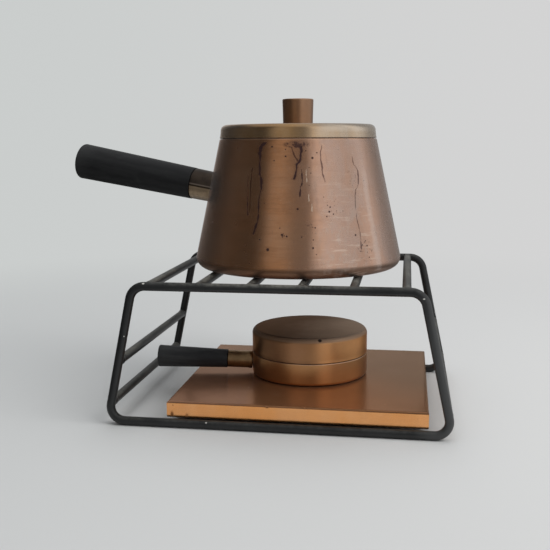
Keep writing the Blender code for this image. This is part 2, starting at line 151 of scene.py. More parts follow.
def lathe(name, outline, matrix, steps=144, closed=False, shape=None, smooth_angle=40):
    """A turned solid from (radius, height) points. shape(angle, r, z) may move a point, for dents and steps."""
    verts, faces, rings = [], [], []
    for r, z in outline:
        if r < 1e-6:
            rings.append((len(verts), 1))
            verts.append((0.0, 0.0, z))
            continue
        rings.append((len(verts), steps))
        for k in range(steps):
            t = 2 * math.pi * k / steps
            rr, zz = shape(t, r, z) if shape else (r, z)
            verts.append((rr * math.cos(t), rr * math.sin(t), zz))
    pairs = list(zip(rings, rings[1:]))
    if closed:
        pairs.append((rings[-1], rings[0]))
    for (a, na), (b, nb) in pairs:
        if na == 1 and nb == 1:
            continue
        for k in range(steps):
            m = (k + 1) % steps
            if na == 1:
                faces.append((a, b + m, b + k))
            elif nb == 1:
                faces.append((a + k, a + m, b))
            else:
                faces.append((a + k, a + m, b + m, b + k))
    if signed_volume(verts, faces) < 0:
        faces = [f[::-1] for f in faces]
    return new_object(name, verts, faces, matrix, smooth_angle)


def sweep(name, path, radius, matrix=None, sides=28, closed=False, normal=None, smooth_angle=60):
    """A round rod along 3-D points. radius is a number, or one per point. normal fixes the frame of a flat path."""
    pts = [Vector(p) for p in path]
    count = len(pts)
    radii = radius if isinstance(radius, (list, tuple)) else [radius] * count
    verts, faces = [], []
    side = None
    for i, p in enumerate(pts):
        before = pts[i - 1] if closed or i else p
        after = pts[(i + 1) % count] if closed or i < count - 1 else p
        tangent = (after - before).normalized()
        if normal is not None:
            side = Vector(normal)
        elif side is None:
            up = Vector((0, 0, 1)) if abs(tangent.z) < 0.9 else Vector((1, 0, 0))
            side = tangent.cross(up).normalized()
        else:
            side = (side - tangent * side.dot(tangent)).normalized()
        other = tangent.cross(side)
        stretch = 1.0
        if closed or 0 < i < count - 1:
            d0, d1 = (p - before).normalized(), (after - p).normalized()
            stretch = 1 / max(0.5, math.cos(d0.angle(d1, 0) / 2))
        for k in range(sides):
            t = 2 * math.pi * k / sides
            verts.append(
                tuple(p + side * (radii[i] * math.cos(t)) + other * (radii[i] * stretch * math.sin(t)))
            )
    last = count if closed else count - 1
    for i in range(last):
        a, b = i * sides, ((i + 1) % count) * sides
        for k in range(sides):
            m = (k + 1) % sides
            faces.append((a + k, a + m, b + m, b + k))
    if not closed:
        faces.append(tuple(range(sides))[::-1])
        faces.append(tuple((count - 1) * sides + k for k in range(sides)))
    if signed_volume(verts, faces) < 0:
        faces = [f[::-1] for f in faces]
    return new_object(name, verts, faces, matrix, smooth_angle)


def frame_along(direction):
    z = Vector(direction).normalized()
    x = Vector((0, 0, 1)).cross(z)
    x = Vector((1, 0, 0)) if x.length < 1e-6 else x.normalized()
    return Matrix((x, z.cross(x), z)).transposed()


def handle_matrix(x, y, z, swing, rise):
    """Z runs outwards along a handle, X stays level and points to the set's front, Y points up."""
    s, e = math.radians(swing), math.radians(rise)
    d = Vector((-math.cos(s) * math.cos(e), -math.sin(s) * math.cos(e), math.sin(e)))
    return Matrix.Translation(Vector((x, y, z)) * MM) @ frame_along(d).to_4x4()


def upright(x, y):
    return Matrix.Translation(Vector((x, y, 0)) * MM)


# ------------------------------------------------------------------ material helpers
class Nodes:
    """One material's node tree, with short calls for the nodes used here."""

    def __init__(self, name):
        self.m = bpy.data.materials.new(name)
        self.m.use_nodes = True
        self.t = self.m.node_tree
        self.t.nodes.clear()
        self.out = self.t.nodes.new("ShaderNodeOutputMaterial")
        self.bsdf = self.t.nodes.new("ShaderNodeBsdfPrincipled")
        self.t.links.new(self.bsdf.outputs[0], self.out.inputs[0])
        self.coord = self.t.nodes.new("ShaderNodeTexCoord").outputs["Object"]

    def put(self, socket, value):
        if isinstance(value, bpy.types.NodeSocket):
            self.t.links.new(value, socket)
        elif hasattr(socket.default_value, "__len__") and isinstance(value, (int, float)):
            socket.default_value = [value] * len(socket.default_value)
        elif hasattr(socket.default_value, "__len__") and len(socket.default_value) == 4 and len(value) == 3:
            socket.default_value = (*value, 1)
        else:
            socket.default_value = value

    def new(self, kind, inputs=(), **props):
        n = self.t.nodes.new("ShaderNode" + kind)
        for k, v in props.items():
            setattr(n, k, v)
        for k, v in dict(inputs).items():
            self.put(n.inputs[k], v)
        return n

    def math(self, op, a, b=0.0, clamp=False):
        n = self.t.nodes.new("ShaderNodeMath")
        n.operation = op
        n.use_clamp = clamp
        self.put(n.inputs[0], a)
        self.put(n.inputs[1], b)
        return n.outputs[0]

    def step(self, value, low, high):
        """Smooth 0 to 1 as value goes from low to high. With low over high it falls."""
        n = self.t.nodes.new("ShaderNodeMapRange")
        n.interpolation_type = "SMOOTHSTEP"
        flip = low > high
        self.put(n.inputs["Value"], value)
        n.inputs["From Min"].default_value = min(low, high)
        n.inputs["From Max"].default_value = max(low, high)
        n.inputs["To Min"].default_value = 1.0 if flip else 0.0
        n.inputs["To Max"].default_value = 0.0 if flip else 1.0
        return n.outputs[0]

    def mix(self, fac, a, b, blend="MIX"):
        n = self.t.nodes.new("ShaderNodeMix")
        n.data_type = "RGBA"
        n.blend_type = blend
        self.put(n.inputs[0], fac)
        self.put(n.inputs[6], a)
        self.put(n.inputs[7], b)
        return n.outputs[2]

    def split(self, vector):
        return self.new("SeparateXYZ", {"Vector": vector}).outputs

    def join(self, x, y, z):
        return self.new("CombineXYZ", {"X": x, "Y": y, "Z": z}).outputs[0]

    def scaled(self, vector, scale, move=(0, 0, 0), turn=(0, 0, 0)):
        return self.new("Mapping", {"Vector": vector, "Scale": scale, "Location": move, "Rotation": turn}).outputs[0]

    def noise(self, vector, scale, detail=4.0, rough=0.55, distortion=0.0):
        return self.new(
            "TexNoise",
            {"Vector": vector, "Scale": scale, "Detail": detail, "Roughness": rough, "Distortion": distortion},
        ).outputs[0]

    def cells(self, vector, scale, feature="F1"):
        n = self.new("TexVoronoi", {"Vector": vector, "Scale": scale}, feature=feature)
        return n.outputs["Distance"], n.outputs.get("Color")

    def curve(self, value, points):
        """A float curve through (x, y) points that need not lie between 0 and 1."""
        xs, ys = [p[0] for p in points], [p[1] for p in points]
        x0, x1, y0, y1 = min(xs), max(xs), min(ys), max(ys)
        y1 = y1 + 1e-6 if y1 == y0 else y1
        v = self.new("MapRange", {"Value": value, "From Min": x0, "From Max": x1})
        n = self.t.nodes.new("ShaderNodeFloatCurve")
        c = n.mapping.curves[0]
        pts = sorted(((x - x0) / (x1 - x0), (y - y0) / (y1 - y0)) for x, y in points)
        c.points[0].location = pts[0]
        c.points[1].location = pts[-1]
        for p in pts[1:-1]:
            c.points.new(*p)
        for p in c.points:
            p.handle_type = "AUTO_CLAMPED"
        n.mapping.update()
        self.put(n.inputs["Value"], v.outputs[0])
        return self.math("ADD", self.math("MULTIPLY", n.outputs[0], y1 - y0), y0)

    def biggest(self, values):
        total = values[0]
        for v in values[1:]:
            total = self.math("MAXIMUM", total, v)
        return total

    def bump(self, height, strength, distance, normal=None):
        n = self.new("Bump", {"Height": height, "Strength": strength, "Distance": distance})
        if normal is not None:
            self.put(n.inputs["Normal"], normal)
        return n.outputs[0]

    def finish(self, **sockets):
        for k, v in sockets.items():
            self.put(self.bsdf.inputs[k.replace("_", " ")], v)
        return self.m


def turned_frame(n):
    """(angle in degrees, radius, height, a seamless vector whose lines run round the piece) for a turned piece."""
    x, y, z = n.split(n.coord)
    angle = n.math("MULTIPLY", n.math("ARCTAN2", y, x), 180 / math.pi)
    r = n.math("SQRT", n.math("ADD", n.math("MULTIPLY", x, x), n.math("MULTIPLY", y, y)))
    safe = n.math("MAXIMUM", r, 0.0005)
    return angle, r, z, (n.math("DIVIDE", x, safe), n.math("DIVIDE", y, safe))


def dull_film_and_painted_light_side(n, angle, start=-96.0, full=-58.0):
    """1 on the front right of a turned piece, fading out on its way round the back: where a dull film and painted light
    go.
    """
    rising = n.step(angle, start, full)
    return n.math("MULTIPLY", rising, n.step(angle, 165.0, 30.0))


def copper(
    name,
    clean=(0.66, 0.30, 0.135),
    brown=(0.40, 0.18, 0.075),
    pale=(0.64, 0.33, 0.17),
    dull=(0.60, 0.43, 0.36),
    dull_film_and_painted_light_amount=0.0,
    roughness=0.24,
    tarnish=0.5,
    film=0.1,
    brush=0.6,
    brush_lines=1100.0,
    seed=0.0,
    specks=0.5,
    speck_share=0.86,
    swelling=0.10,
    relief=0.13,
    edge_tint=(1.0, 1.0, 1.0),
    haze=0.0,
    scratched=0.25,
    patchy=1.0,
    ripple=0.0,
    turned=True,
    edges=(),
    extra=None,
):
    """Worn copper: brushed lines, uneven brown tarnish, a dull film with painted light on its front-right side, dark
    specks and fine scratches.

    edges are (height in mm, half-width in mm) bands painted bright, partly rubbing wear and partly a painted highlight
    where the rim catches the light. extra(n, parts) gives the marks of one piece as (mask, colour, change of roughness,
    share that hides the metal, relief) layers."""
    n = Nodes(name)
    moved = n.scaled(n.coord, (1, 1, 1), (seed, seed * 0.7, seed * 0.3))
    if turned:
        angle, r, z, (ux, uy) = turned_frame(n)
        line_z = n.math("MULTIPLY", n.math("ADD", n.math("ADD", z, r), seed), brush_lines)
        lines = n.noise(n.join(n.math("MULTIPLY", ux, 2.6), n.math("MULTIPLY", uy, 2.6), line_z), 1.0, 3, 0.6)
        wide = n.noise(
            n.join(n.math("MULTIPLY", ux, 3.4), n.math("MULTIPLY", uy, 3.4), n.math("MULTIPLY", line_z, 0.22)), 1.0, 3, 0.6
        )
    else:
        angle = r = None
        z = n.split(n.coord)[2]
        lines = n.noise(n.scaled(moved, (9, brush_lines, brush_lines)), 1.0, 3, 0.6)
        wide = n.noise(n.scaled(moved, (5, 90, 90)), 1.0, 2)
    cloud = n.noise(moved, 22.0, 5, 0.6)
    fine = n.noise(moved, 140.0, 6, 0.65)
    blotch = n.noise(n.scaled(moved, (1, 1, 0.55)), 55.0, 7, 0.62, 0.4)
    tint = n.mix(n.step(cloud, 0.38, 0.66), clean, pale)
    age = n.math(
        "MULTIPLY",
        n.step(n.math("ADD", n.math("MULTIPLY", blotch, 0.55), n.math("MULTIPLY", wide, 0.45)), 0.38, 0.64),
        tarnish,
    )
    colour = n.mix(age, tint, brown)
    colour = n.mix(n.math("MULTIPLY", n.step(lines, 0.46, 0.70), 0.25 * brush), colour, brown)
    rough = n.math("ADD", roughness - 0.06 * patchy, n.math("MULTIPLY", fine, 0.08 * patchy))
    rough = n.math("ADD", rough, n.math("MULTIPLY", age, 0.10 * patchy))
    rough = n.math("ADD", rough, n.math("MULTIPLY", lines, 0.06 * brush))
    # the front-right side takes the dull colour: partly a dull film, partly painted light and painted reflection where
    # the light falls
    if dull_film_and_painted_light_amount and turned:
        side = n.math("MULTIPLY", dull_film_and_painted_light_side(n, angle), n.math("ADD", 0.72, n.math("MULTIPLY", n.step(blotch, 0.35, 0.65), 0.28)))
        side = n.math("MULTIPLY", side, dull_film_and_painted_light_amount)
        colour = n.mix(side, colour, dull)
        rough = n.math("ADD", rough, n.math("MULTIPLY", side, 0.05))
    # fine scratches: thin level lines of two stretched noises
    scratch = []
    for turn, scale in (((0.3, 0.5, 0.9), (16, 240, 40)), ((0.1, 1.2, 0.35), (20, 60, 300))):
        sc = n.noise(n.scaled(moved, scale, (seed, 3, 1), turn), 1.0, 1, 0.4)
        thin = n.step(n.math("ABSOLUTE", n.math("SUBTRACT", sc, 0.5)), 0.006, 0.0)
        scratch.append(n.math("MULTIPLY", thin, n.step(fine, 0.5, 0.62)))
    scratches = n.biggest(scratch)
    colour = n.mix(n.math("MULTIPLY", scratches, scratched), colour, (0.86, 0.56, 0.38))
    height = n.math("ADD", n.math("MULTIPLY", lines, 0.35 * brush), n.math("MULTIPLY", fine, 0.07))
    height = n.math("ADD", height, n.math("MULTIPLY", wide, 0.5 * brush))
    bright = None
    # bands along the given edges painted bright: partly rubbing wear, partly painted highlight along the rim
    for at, half in edges:
        near = n.step(n.math("ABSOLUTE", n.math("SUBTRACT", z, at * MM)), half * MM, half * MM * 0.3)
        bright = near if bright is None else n.math("MAXIMUM", bright, near)
    if bright is not None:
        wear_and_painted_light = n.math("MULTIPLY", bright, n.step(fine, 0.30, 0.50))
        colour = n.mix(n.math("MULTIPLY", wear_and_painted_light, 0.6), colour, (0.84, 0.50, 0.32))
    # dark specks of spilled food and spirit
    distance, tone = n.cells(moved, 210.0)
    tone_x, tone_y, _ = n.split(tone)
    size = n.math("MULTIPLY", tone_y, 0.15)
    spots = n.math("MULTIPLY", n.math("GREATER_THAN", size, distance), n.step(tone_x, speck_share, speck_share + 0.03))
    spots = n.math("MULTIPLY", spots, specks)
    hidden = n.math("MULTIPLY", spots, 0.7)
    colour = n.mix(spots, colour, (0.030, 0.014, 0.010))
    parts = {"angle": angle, "r": r, "z": z, "fine": fine, "cloud": cloud, "blotch": blotch, "wide": wide, "moved": moved, "lines": lines}
    for mask, tint_of, rougher, hides, raised in extra(n, parts) if extra else ():
        colour = n.mix(mask, colour, tint_of)
        rough = n.math("ADD", rough, n.math("MULTIPLY", mask, rougher))
        if hides:
            hidden = n.math("MAXIMUM", hidden, n.math("MULTIPLY", mask, hides))
        if raised:
            height = n.math("ADD", height, n.math("MULTIPLY", mask, raised))
    metal = n.math("SUBTRACT", 1.0, hidden)
    rough = n.math("ADD", rough, n.math("MULTIPLY", spots, 0.15), clamp=True)
    swell = n.noise(n.scaled(moved, (1, 1, 0.45 if turned else 1.0)), 34.0, 2, 0.45)
    normal = n.bump(swell, swelling, 0.0012)
    if ripple and turned:
        # shallow upright ripples on the front right
        waves = n.noise(n.scaled(moved, (1, 1, 0.26)), 88.0, 2, 0.5)
        waves = n.math("MULTIPLY", waves, n.step(n.math("ABSOLUTE", n.math("ADD", angle, 50.0)), 34.0, 16.0))
        normal = n.bump(waves, ripple, 0.0012, normal)
    normal = n.bump(height, relief, 0.00012, normal)
    return n.finish(
        Specular_Tint=edge_tint,
        Base_Color=colour,
        Metallic=metal,
        Roughness=rough,
        Normal=normal,
        Coat_Weight=film,
        Coat_Roughness=0.25,
        Coat_IOR=1.4,
        Sheen_Weight=haze,
        Sheen_Roughness=0.5,
    )


def tin(name, seed=0.0):
    """The dull grey lining of a copper pot, with turning lines and stains."""
    n = Nodes(name)
    angle, r, z, (ux, uy) = turned_frame(n)
    line_z = n.math("MULTIPLY", n.math("ADD", z, r), 900.0)
    lines = n.noise(n.join(n.math("MULTIPLY", ux, 2), n.math("MULTIPLY", uy, 2), line_z), 1.0, 3)
    cloud = n.noise(n.scaled(n.coord, (1, 1, 1), (seed, 0, 0)), 45.0, 6, 0.62)
    colour = n.mix(n.step(cloud, 0.40, 0.64), (0.50, 0.48, 0.44), (0.30, 0.27, 0.24))
    rough = n.math("ADD", 0.30, n.math("MULTIPLY", n.math("ADD", lines, cloud), 0.14))
    return n.finish(Base_Color=colour, Metallic=1.0, Roughness=rough, Normal=n.bump(lines, 0.2, 0.0001))


def enamel(name, chips=(), dust=0.5, seed=0.0, dusty=None, painted_light_x=None):
    """Black stove enamel on rod: faint orange peel, grey dust and rubbing on top, a few white chips.

    chips are (x, y, z, radius) in mm in the set's frame."""
    n = Nodes(name)
    moved = n.scaled(n.coord, (1, 1, 1), (seed, seed * 0.6, seed * 0.2))
    up = n.split(n.new("NewGeometry").outputs["Normal"])[2]
    fine = n.noise(moved, 420.0, 5, 0.65)
    cloud = n.noise(moved, 48.0, 5, 0.62)
    peel = n.noise(moved, 900.0, 2, 0.5)
    top = n.math("MULTIPLY", n.step(up, 0.15, 0.95), n.step(n.math("ADD", n.math("MULTIPLY", cloud, 0.6), n.math("MULTIPLY", fine, 0.4)), 0.36, 0.62))
    colour = n.mix(n.step(cloud, 0.35, 0.7), (0.0078, 0.0083, 0.0090), (0.0150, 0.0157, 0.0162))
    if dusty:
        at_x, half, above_z = dusty
        px, _, pz = n.split(n.coord)
        near = n.step(n.math("ABSOLUTE", n.math("SUBTRACT", px, at_x * MM)), half * 1.5 * MM, half * 0.5 * MM)
        near = n.math("MULTIPLY", near, n.math("GREATER_THAN", pz, above_z * MM))
        top = n.math("MULTIPLY", top, n.math("ADD", 0.22, n.math("MULTIPLY", near, 0.78)))
    # painted light: the rod turns lighter across the given x range, where the light falls on the front loop's right leg
    if painted_light_x:
        painted_lit_leg = n.math("MULTIPLY", n.step(n.split(n.coord)[0], painted_light_x[0] * MM, painted_light_x[1] * MM), 0.85)
        colour = n.mix(painted_lit_leg, colour, (0.050, 0.051, 0.052))
    colour = n.mix(n.math("MULTIPLY", top, dust), colour, (0.150, 0.146, 0.130))
    distance, tone = n.cells(moved, 260.0)
    few = n.math("MULTIPLY", n.step(n.split(tone)[0], 0.985, 0.990), n.math("LESS_THAN", distance, 0.14))
    marks = [few]
    for x, y, z, r in chips:
        d = n.new("VectorMath", {0: n.scaled(n.coord, (1, 1, 1.6), (0, 0, -0.6 * z * MM)), 1: (x * MM, y * MM, z * MM)}, operation="DISTANCE").outputs["Value"]
        ragged = n.math("ADD", d, n.math("MULTIPLY", n.math("SUBTRACT", fine, 0.5), r * MM * 1.1))
        marks.append(n.step(ragged, r * MM, r * MM * 0.75))
    chip = n.biggest(marks)
    colour = n.mix(chip, colour, (0.50, 0.49, 0.46))
    rough = n.math("ADD", 0.30, n.math("MULTIPLY", fine, 0.16))
    rough = n.math("ADD", rough, n.math("MULTIPLY", top, 0.28))
    rough = n.math("ADD", rough, n.math("MULTIPLY", chip, 0.2), clamp=True)
    height = n.math("SUBTRACT", n.math("ADD", n.math("MULTIPLY", peel, 0.5), n.math("MULTIPLY", fine, 0.4)), n.math("MULTIPLY", chip, 0.8))
    return n.finish(Base_Color=colour, Roughness=rough, Normal=n.bump(height, 0.18, 0.0002))


def black_grip(name, length, seed=0.0, tone=1.0):
    """Ebonised wood, nearly matt: grain along the grip, painted lighter grey towards the end, and a little grey wear in
    patches.
    """
    n = Nodes(name)
    x, y, z = n.split(n.coord)
    moved = n.scaled(n.coord, (1, 1, 0.06), (seed, seed, 0))
    grain = n.noise(moved, 900.0, 4, 0.6, 0.3)
    coarse = n.noise(n.scaled(n.coord, (1, 1, 0.14), (seed, 0, seed)), 190.0, 4, 0.6)
    wear = n.noise(n.scaled(n.coord, (1, 1, 1), (0, seed, 0)), 60.0, 6, 0.65)
    # tone scales the base colour; above 1 it is painted light for a grip that sits in shade
    colour = n.mix(n.step(coarse, 0.35, 0.68), tuple(c * tone for c in (0.0066, 0.0067, 0.0076)), tuple(c * tone for c in (0.0140, 0.0142, 0.0150)))
    pores = n.step(grain, 0.60, 0.70)
    colour = n.mix(n.math("MULTIPLY", pores, 0.6), colour, (0.0035, 0.0035, 0.004))
    # painted light: the grip is painted lighter grey towards its end; the wear patches are random
    end = n.step(z, (length - 20) * MM, (length - 2) * MM)
    wear_and_painted_light = n.math("MULTIPLY", n.math("MAXIMUM", end, n.step(wear, 0.58, 0.72)), 0.28)
    colour = n.mix(wear_and_painted_light, colour, (0.042, 0.044, 0.043))
    rough = n.math("ADD", 0.44, n.math("MULTIPLY", coarse, 0.2))
    height = n.math("SUBTRACT", n.math("MULTIPLY", coarse, 0.5), n.math("MULTIPLY", pores, 0.5))
    return n.finish(Base_Color=colour, Roughness=rough, Normal=n.bump(height, 0.22, 0.00025), Specular_IOR_Level=0.38)


def ferrule_metal(name, light=(0.50, 0.37, 0.21), dark=(0.13, 0.095, 0.07), seam=None, seed=0.0):
    """Bronze ferrule: lengthwise drawing lines; with a seam, the upper half painted dark as shade, a painted highlight
    just above the seam's dark line and the lower half painted lighter as a reflection. seam is the angle in degrees.
    """
    n = Nodes(name)
    angle, r, z, (ux, uy) = turned_frame(n)
    draw = n.noise(n.join(n.math("MULTIPLY", ux, 26), n.math("MULTIPLY", uy, 26), n.math("MULTIPLY", z, 30.0)), 1.0, 4, 0.6)
    cloud = n.noise(n.scaled(n.coord, (1, 1, 1), (seed, 0, 0)), 110.0, 6, 0.65)
    colour = n.mix(n.step(cloud, 0.35, 0.68), light, tuple(c * 0.62 for c in light))
    if seam is not None:
        # painted light: the upper half dark as painted shade, a painted highlight above the seam's dark line, and the
        # lower half lighter as a painted reflection
        above = n.step(n.math("ABSOLUTE", n.math("SUBTRACT", angle, seam + 90)), 92, 86)
        colour = n.mix(n.math("MULTIPLY", above, 0.88), colour, dark)
        line = n.step(n.math("ABSOLUTE", n.math("SUBTRACT", angle, seam)), 3.2, 1.4)
        colour = n.mix(n.math("MULTIPLY", line, 0.85), colour, (0.030, 0.020, 0.014))
        lip = n.step(n.math("ABSOLUTE", n.math("SUBTRACT", angle, seam + 6.5)), 3.2, 1.2)
        colour = n.mix(n.math("MULTIPLY", lip, 0.55), colour, (0.46, 0.37, 0.30))
        below = n.step(n.math("ABSOLUTE", n.math("SUBTRACT", angle, seam - 90)), 62, 20)
        colour = n.mix(n.math("MULTIPLY", below, 0.45), colour, (0.42, 0.37, 0.34))
    else:
        colour = n.mix(n.math("MULTIPLY", n.step(draw, 0.4, 0.7), 0.5), colour, dark)
    rough = n.math("ADD", 0.26, n.math("MULTIPLY", n.math("ADD", cloud, draw), 0.14))
    return n.finish(Base_Color=colour, Metallic=1.0, Roughness=rough, Normal=n.bump(draw, 0.2, 0.0001))


def steel(name, colour_a=(0.42, 0.41, 0.40), colour_b=(0.24, 0.22, 0.20), seed=0.0):
    n = Nodes(name)
    cloud = n.noise(n.scaled(n.coord, (1, 1, 1), (seed, 0, 0)), 260.0, 6, 0.65)
    fine = n.noise(n.scaled(n.coord, (900, 900, 120)), 1.0, 3)
    colour = n.mix(n.step(cloud, 0.4, 0.66), colour_a, colour_b)
    rough = n.math("ADD", 0.25, n.math("MULTIPLY", n.math("ADD", cloud, fine), 0.16))
    return n.finish(Base_Color=colour, Metallic=1.0, Roughness=rough, Normal=n.bump(fine, 0.15, 0.0001))


def hardboard(name):
    n = Nodes(name)
    fibre = n.noise(n.scaled(n.coord, (1, 1, 3)), 700.0, 6, 0.7, 0.8)
    mesh_x = n.new("TexWave", {"Vector": n.scaled(n.coord, (1, 1, 1)), "Scale": 260.0, "Distortion": 0.4}, bands_direction="X").outputs[0]
    mesh_y = n.new("TexWave", {"Vector": n.scaled(n.coord, (1, 1, 1)), "Scale": 260.0, "Distortion": 0.4}, bands_direction="Y").outputs[0]
    weave = n.math("MULTIPLY", mesh_x, mesh_y)
    colour = n.mix(n.step(fibre, 0.3, 0.7), (0.26, 0.155, 0.085), (0.16, 0.09, 0.048))
    colour = n.mix(n.math("MULTIPLY", weave, 0.35), colour, (0.10, 0.055, 0.03))
    height = n.math("ADD", fibre, n.math("MULTIPLY", weave, -0.8))
    return n.finish(Base_Color=colour, Roughness=0.82, Normal=n.bump(height, 0.5, 0.0003))


def fibre_wadding(name):
    n = Nodes(name)
    strands = n.noise(n.scaled(n.coord, (1, 1, 2.5)), 900.0, 8, 0.75, 2.2)
    lumps = n.noise(n.coord, 120.0, 4, 0.6)
    scorch = n.noise(n.coord, 60.0, 4, 0.6)
    colour = n.mix(n.step(strands, 0.3, 0.7), (0.50, 0.47, 0.41), (0.74, 0.71, 0.64))
    colour = n.mix(n.math("MULTIPLY", n.step(scorch, 0.50, 0.66), 0.55), colour, (0.20, 0.14, 0.09))
    height = n.math("ADD", n.math("MULTIPLY", strands, 0.6), lumps)
    return n.finish(Base_Color=colour, Roughness=0.95, Normal=n.bump(height, 0.8, 0.0008), Sheen_Weight=0.3)


def dress(o, material, body, slot, *replaced):
    """Gives a new piece its material and body and hides the CAD nodes it stands for. slot is not used."""
    o.data.materials.clear()
    for m in material if isinstance(material, (list, tuple)) else [material]:
        o.data.materials.append(m)
    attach(o, body)
    if replaced:
        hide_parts(*replaced)
    return o


def repaint(node, material):
    """A CAD node whose shape is right keeps it, with a better material."""
    o = NODES[node]
    if not o.data.materials:
        o.data.materials.append(material)
    for i in range(len(o.data.materials)):
        o.data.materials[i] = material
    for s in o.material_slots:
        s.link = "DATA"


# ------------------------------------------------------------------ stand
def loop_path(y, n=14):
    """Centreline of a loop: a trapezoid with round corners, in the plane of that y."""
    half = (129.75, 107.35)
    pts = [(-half[0], RAIL_Z), (half[0], RAIL_Z), (half[1], GRID_Z), (-half[1], GRID_Z)]
    out = []
    for i, p in enumerate(pts):
        p = Vector(p)
        a, b = (Vector(pts[i - 1]) - p).normalized(), (Vector(pts[(i + 1) % 4]) - p).normalized()
        bend = BEND_R[i // 2]
        h = a.angle(b) / 2
        reach = bend / math.tan(h)
        c = p + (a + b).normalized() * (bend / math.sin(h))
        s = p + a * reach - c
        a0, turn = math.atan2(s.y, s.x), math.pi - 2 * h
        q = p + a * (reach + 1.0)
        out.append((CX + q.x, y, q.y))
        for k in range(n + 1):
            t = a0 + turn * k / n
            out.append((CX + c.x + bend * math.cos(t), y, c.y + bend * math.sin(t)))
        q = p + b * (reach + 1.0)
        out.append((CX + q.x, y, q.y))
    return out


chips = [
    (CX - 97.8, -HALF_D - 2.2, GRID_Z + 2.4, 1.1),
    (CX + 107.1, -HALF_D - 3.0, GRID_Z - 4.0, 1.0),
    (CX - 51.9, -HALF_D - 2.6, RAIL_Z + 2.2, 0.9),
]
# the front loop's right leg gets painted light from x = CX + 100 to CX + 116
black_front = enamel("black_enamel_front", chips, dust=0.95, seed=0.0, dusty=(CX - 8.0, 62.0, 60.0), painted_light_x=(CX + 100.0, CX + 116.0))
black_rear = enamel("black_enamel_rear", (), dust=0.3, seed=2.3)
black_bars = enamel("black_enamel_bars", (), dust=0.85, seed=5.1)
black_sides = enamel("black_enamel_sides", (), dust=0.7, seed=7.9)
dress(
    sweep("front_loop_rod", loop_path(-HALF_D), ROD_R, closed=True, normal=(0, 1, 0)),
    black_front, "stand", "black_enamel", "frame_front_loop",
)
dress(
    sweep("rear_loop_rod", loop_path(HALF_D), ROD_R, closed=True, normal=(0, 1, 0)),
    black_rear, "stand", "black_enamel", "frame_rear_loop",
)


def welded_rod(name, x, z, lean=0.0):
    """A rod from the front loop to the rear one, with a small weld bead where it meets each."""
    ys, rs = [], []
    length = HALF_D - 0.4
    beads = [(length, 2.8), (length - 1.6, 3.3), (length - 2.6, 3.8), (length - 3.4, 3.95), (length - 4.2, 3.8), (length - 5.0, 3.52), (length - 6.0, ROD_R), (length - 7.5, ROD_R)]
    for y, r in beads:
        ys.append(-y)
        rs.append(r)
    for k in range(1, 8):
        ys.append(-(length - 7.5) + 2 * (length - 7.5) * k / 8)
        rs.append(ROD_R)
    for y, r in beads[::-1]:
        ys.append(y)
        rs.append(r)
    rnd = random.Random(name)
    rs = [r * (1 + (0.012 * (rnd.random() - 0.5) if r > ROD_R + 0.05 else 0)) for r in rs]
    rs = [min(r, 3.52 if z > 90 or x > CX else 3.70) for r in rs]
    return sweep(name, [(x, y, z) for y in ys], rs, normal=(1, 0, 0), sides=24)


for i in range(1, 7):
    x, _, z = middle(f"grid_bar_{i}")
    dress(welded_rod(f"grid_rod_{i}", x, z), black_bars, "stand", "black_enamel", f"grid_bar_{i}")
for side in ("left", "right"):
    for level in ("upper", "lower"):
        node = f"side_rod_{side}_{level}"
        x, _, z = middle(node)
        dress(welded_rod(f"{side}_{level}_rod", x, z), black_sides, "stand", "black_enamel", node)


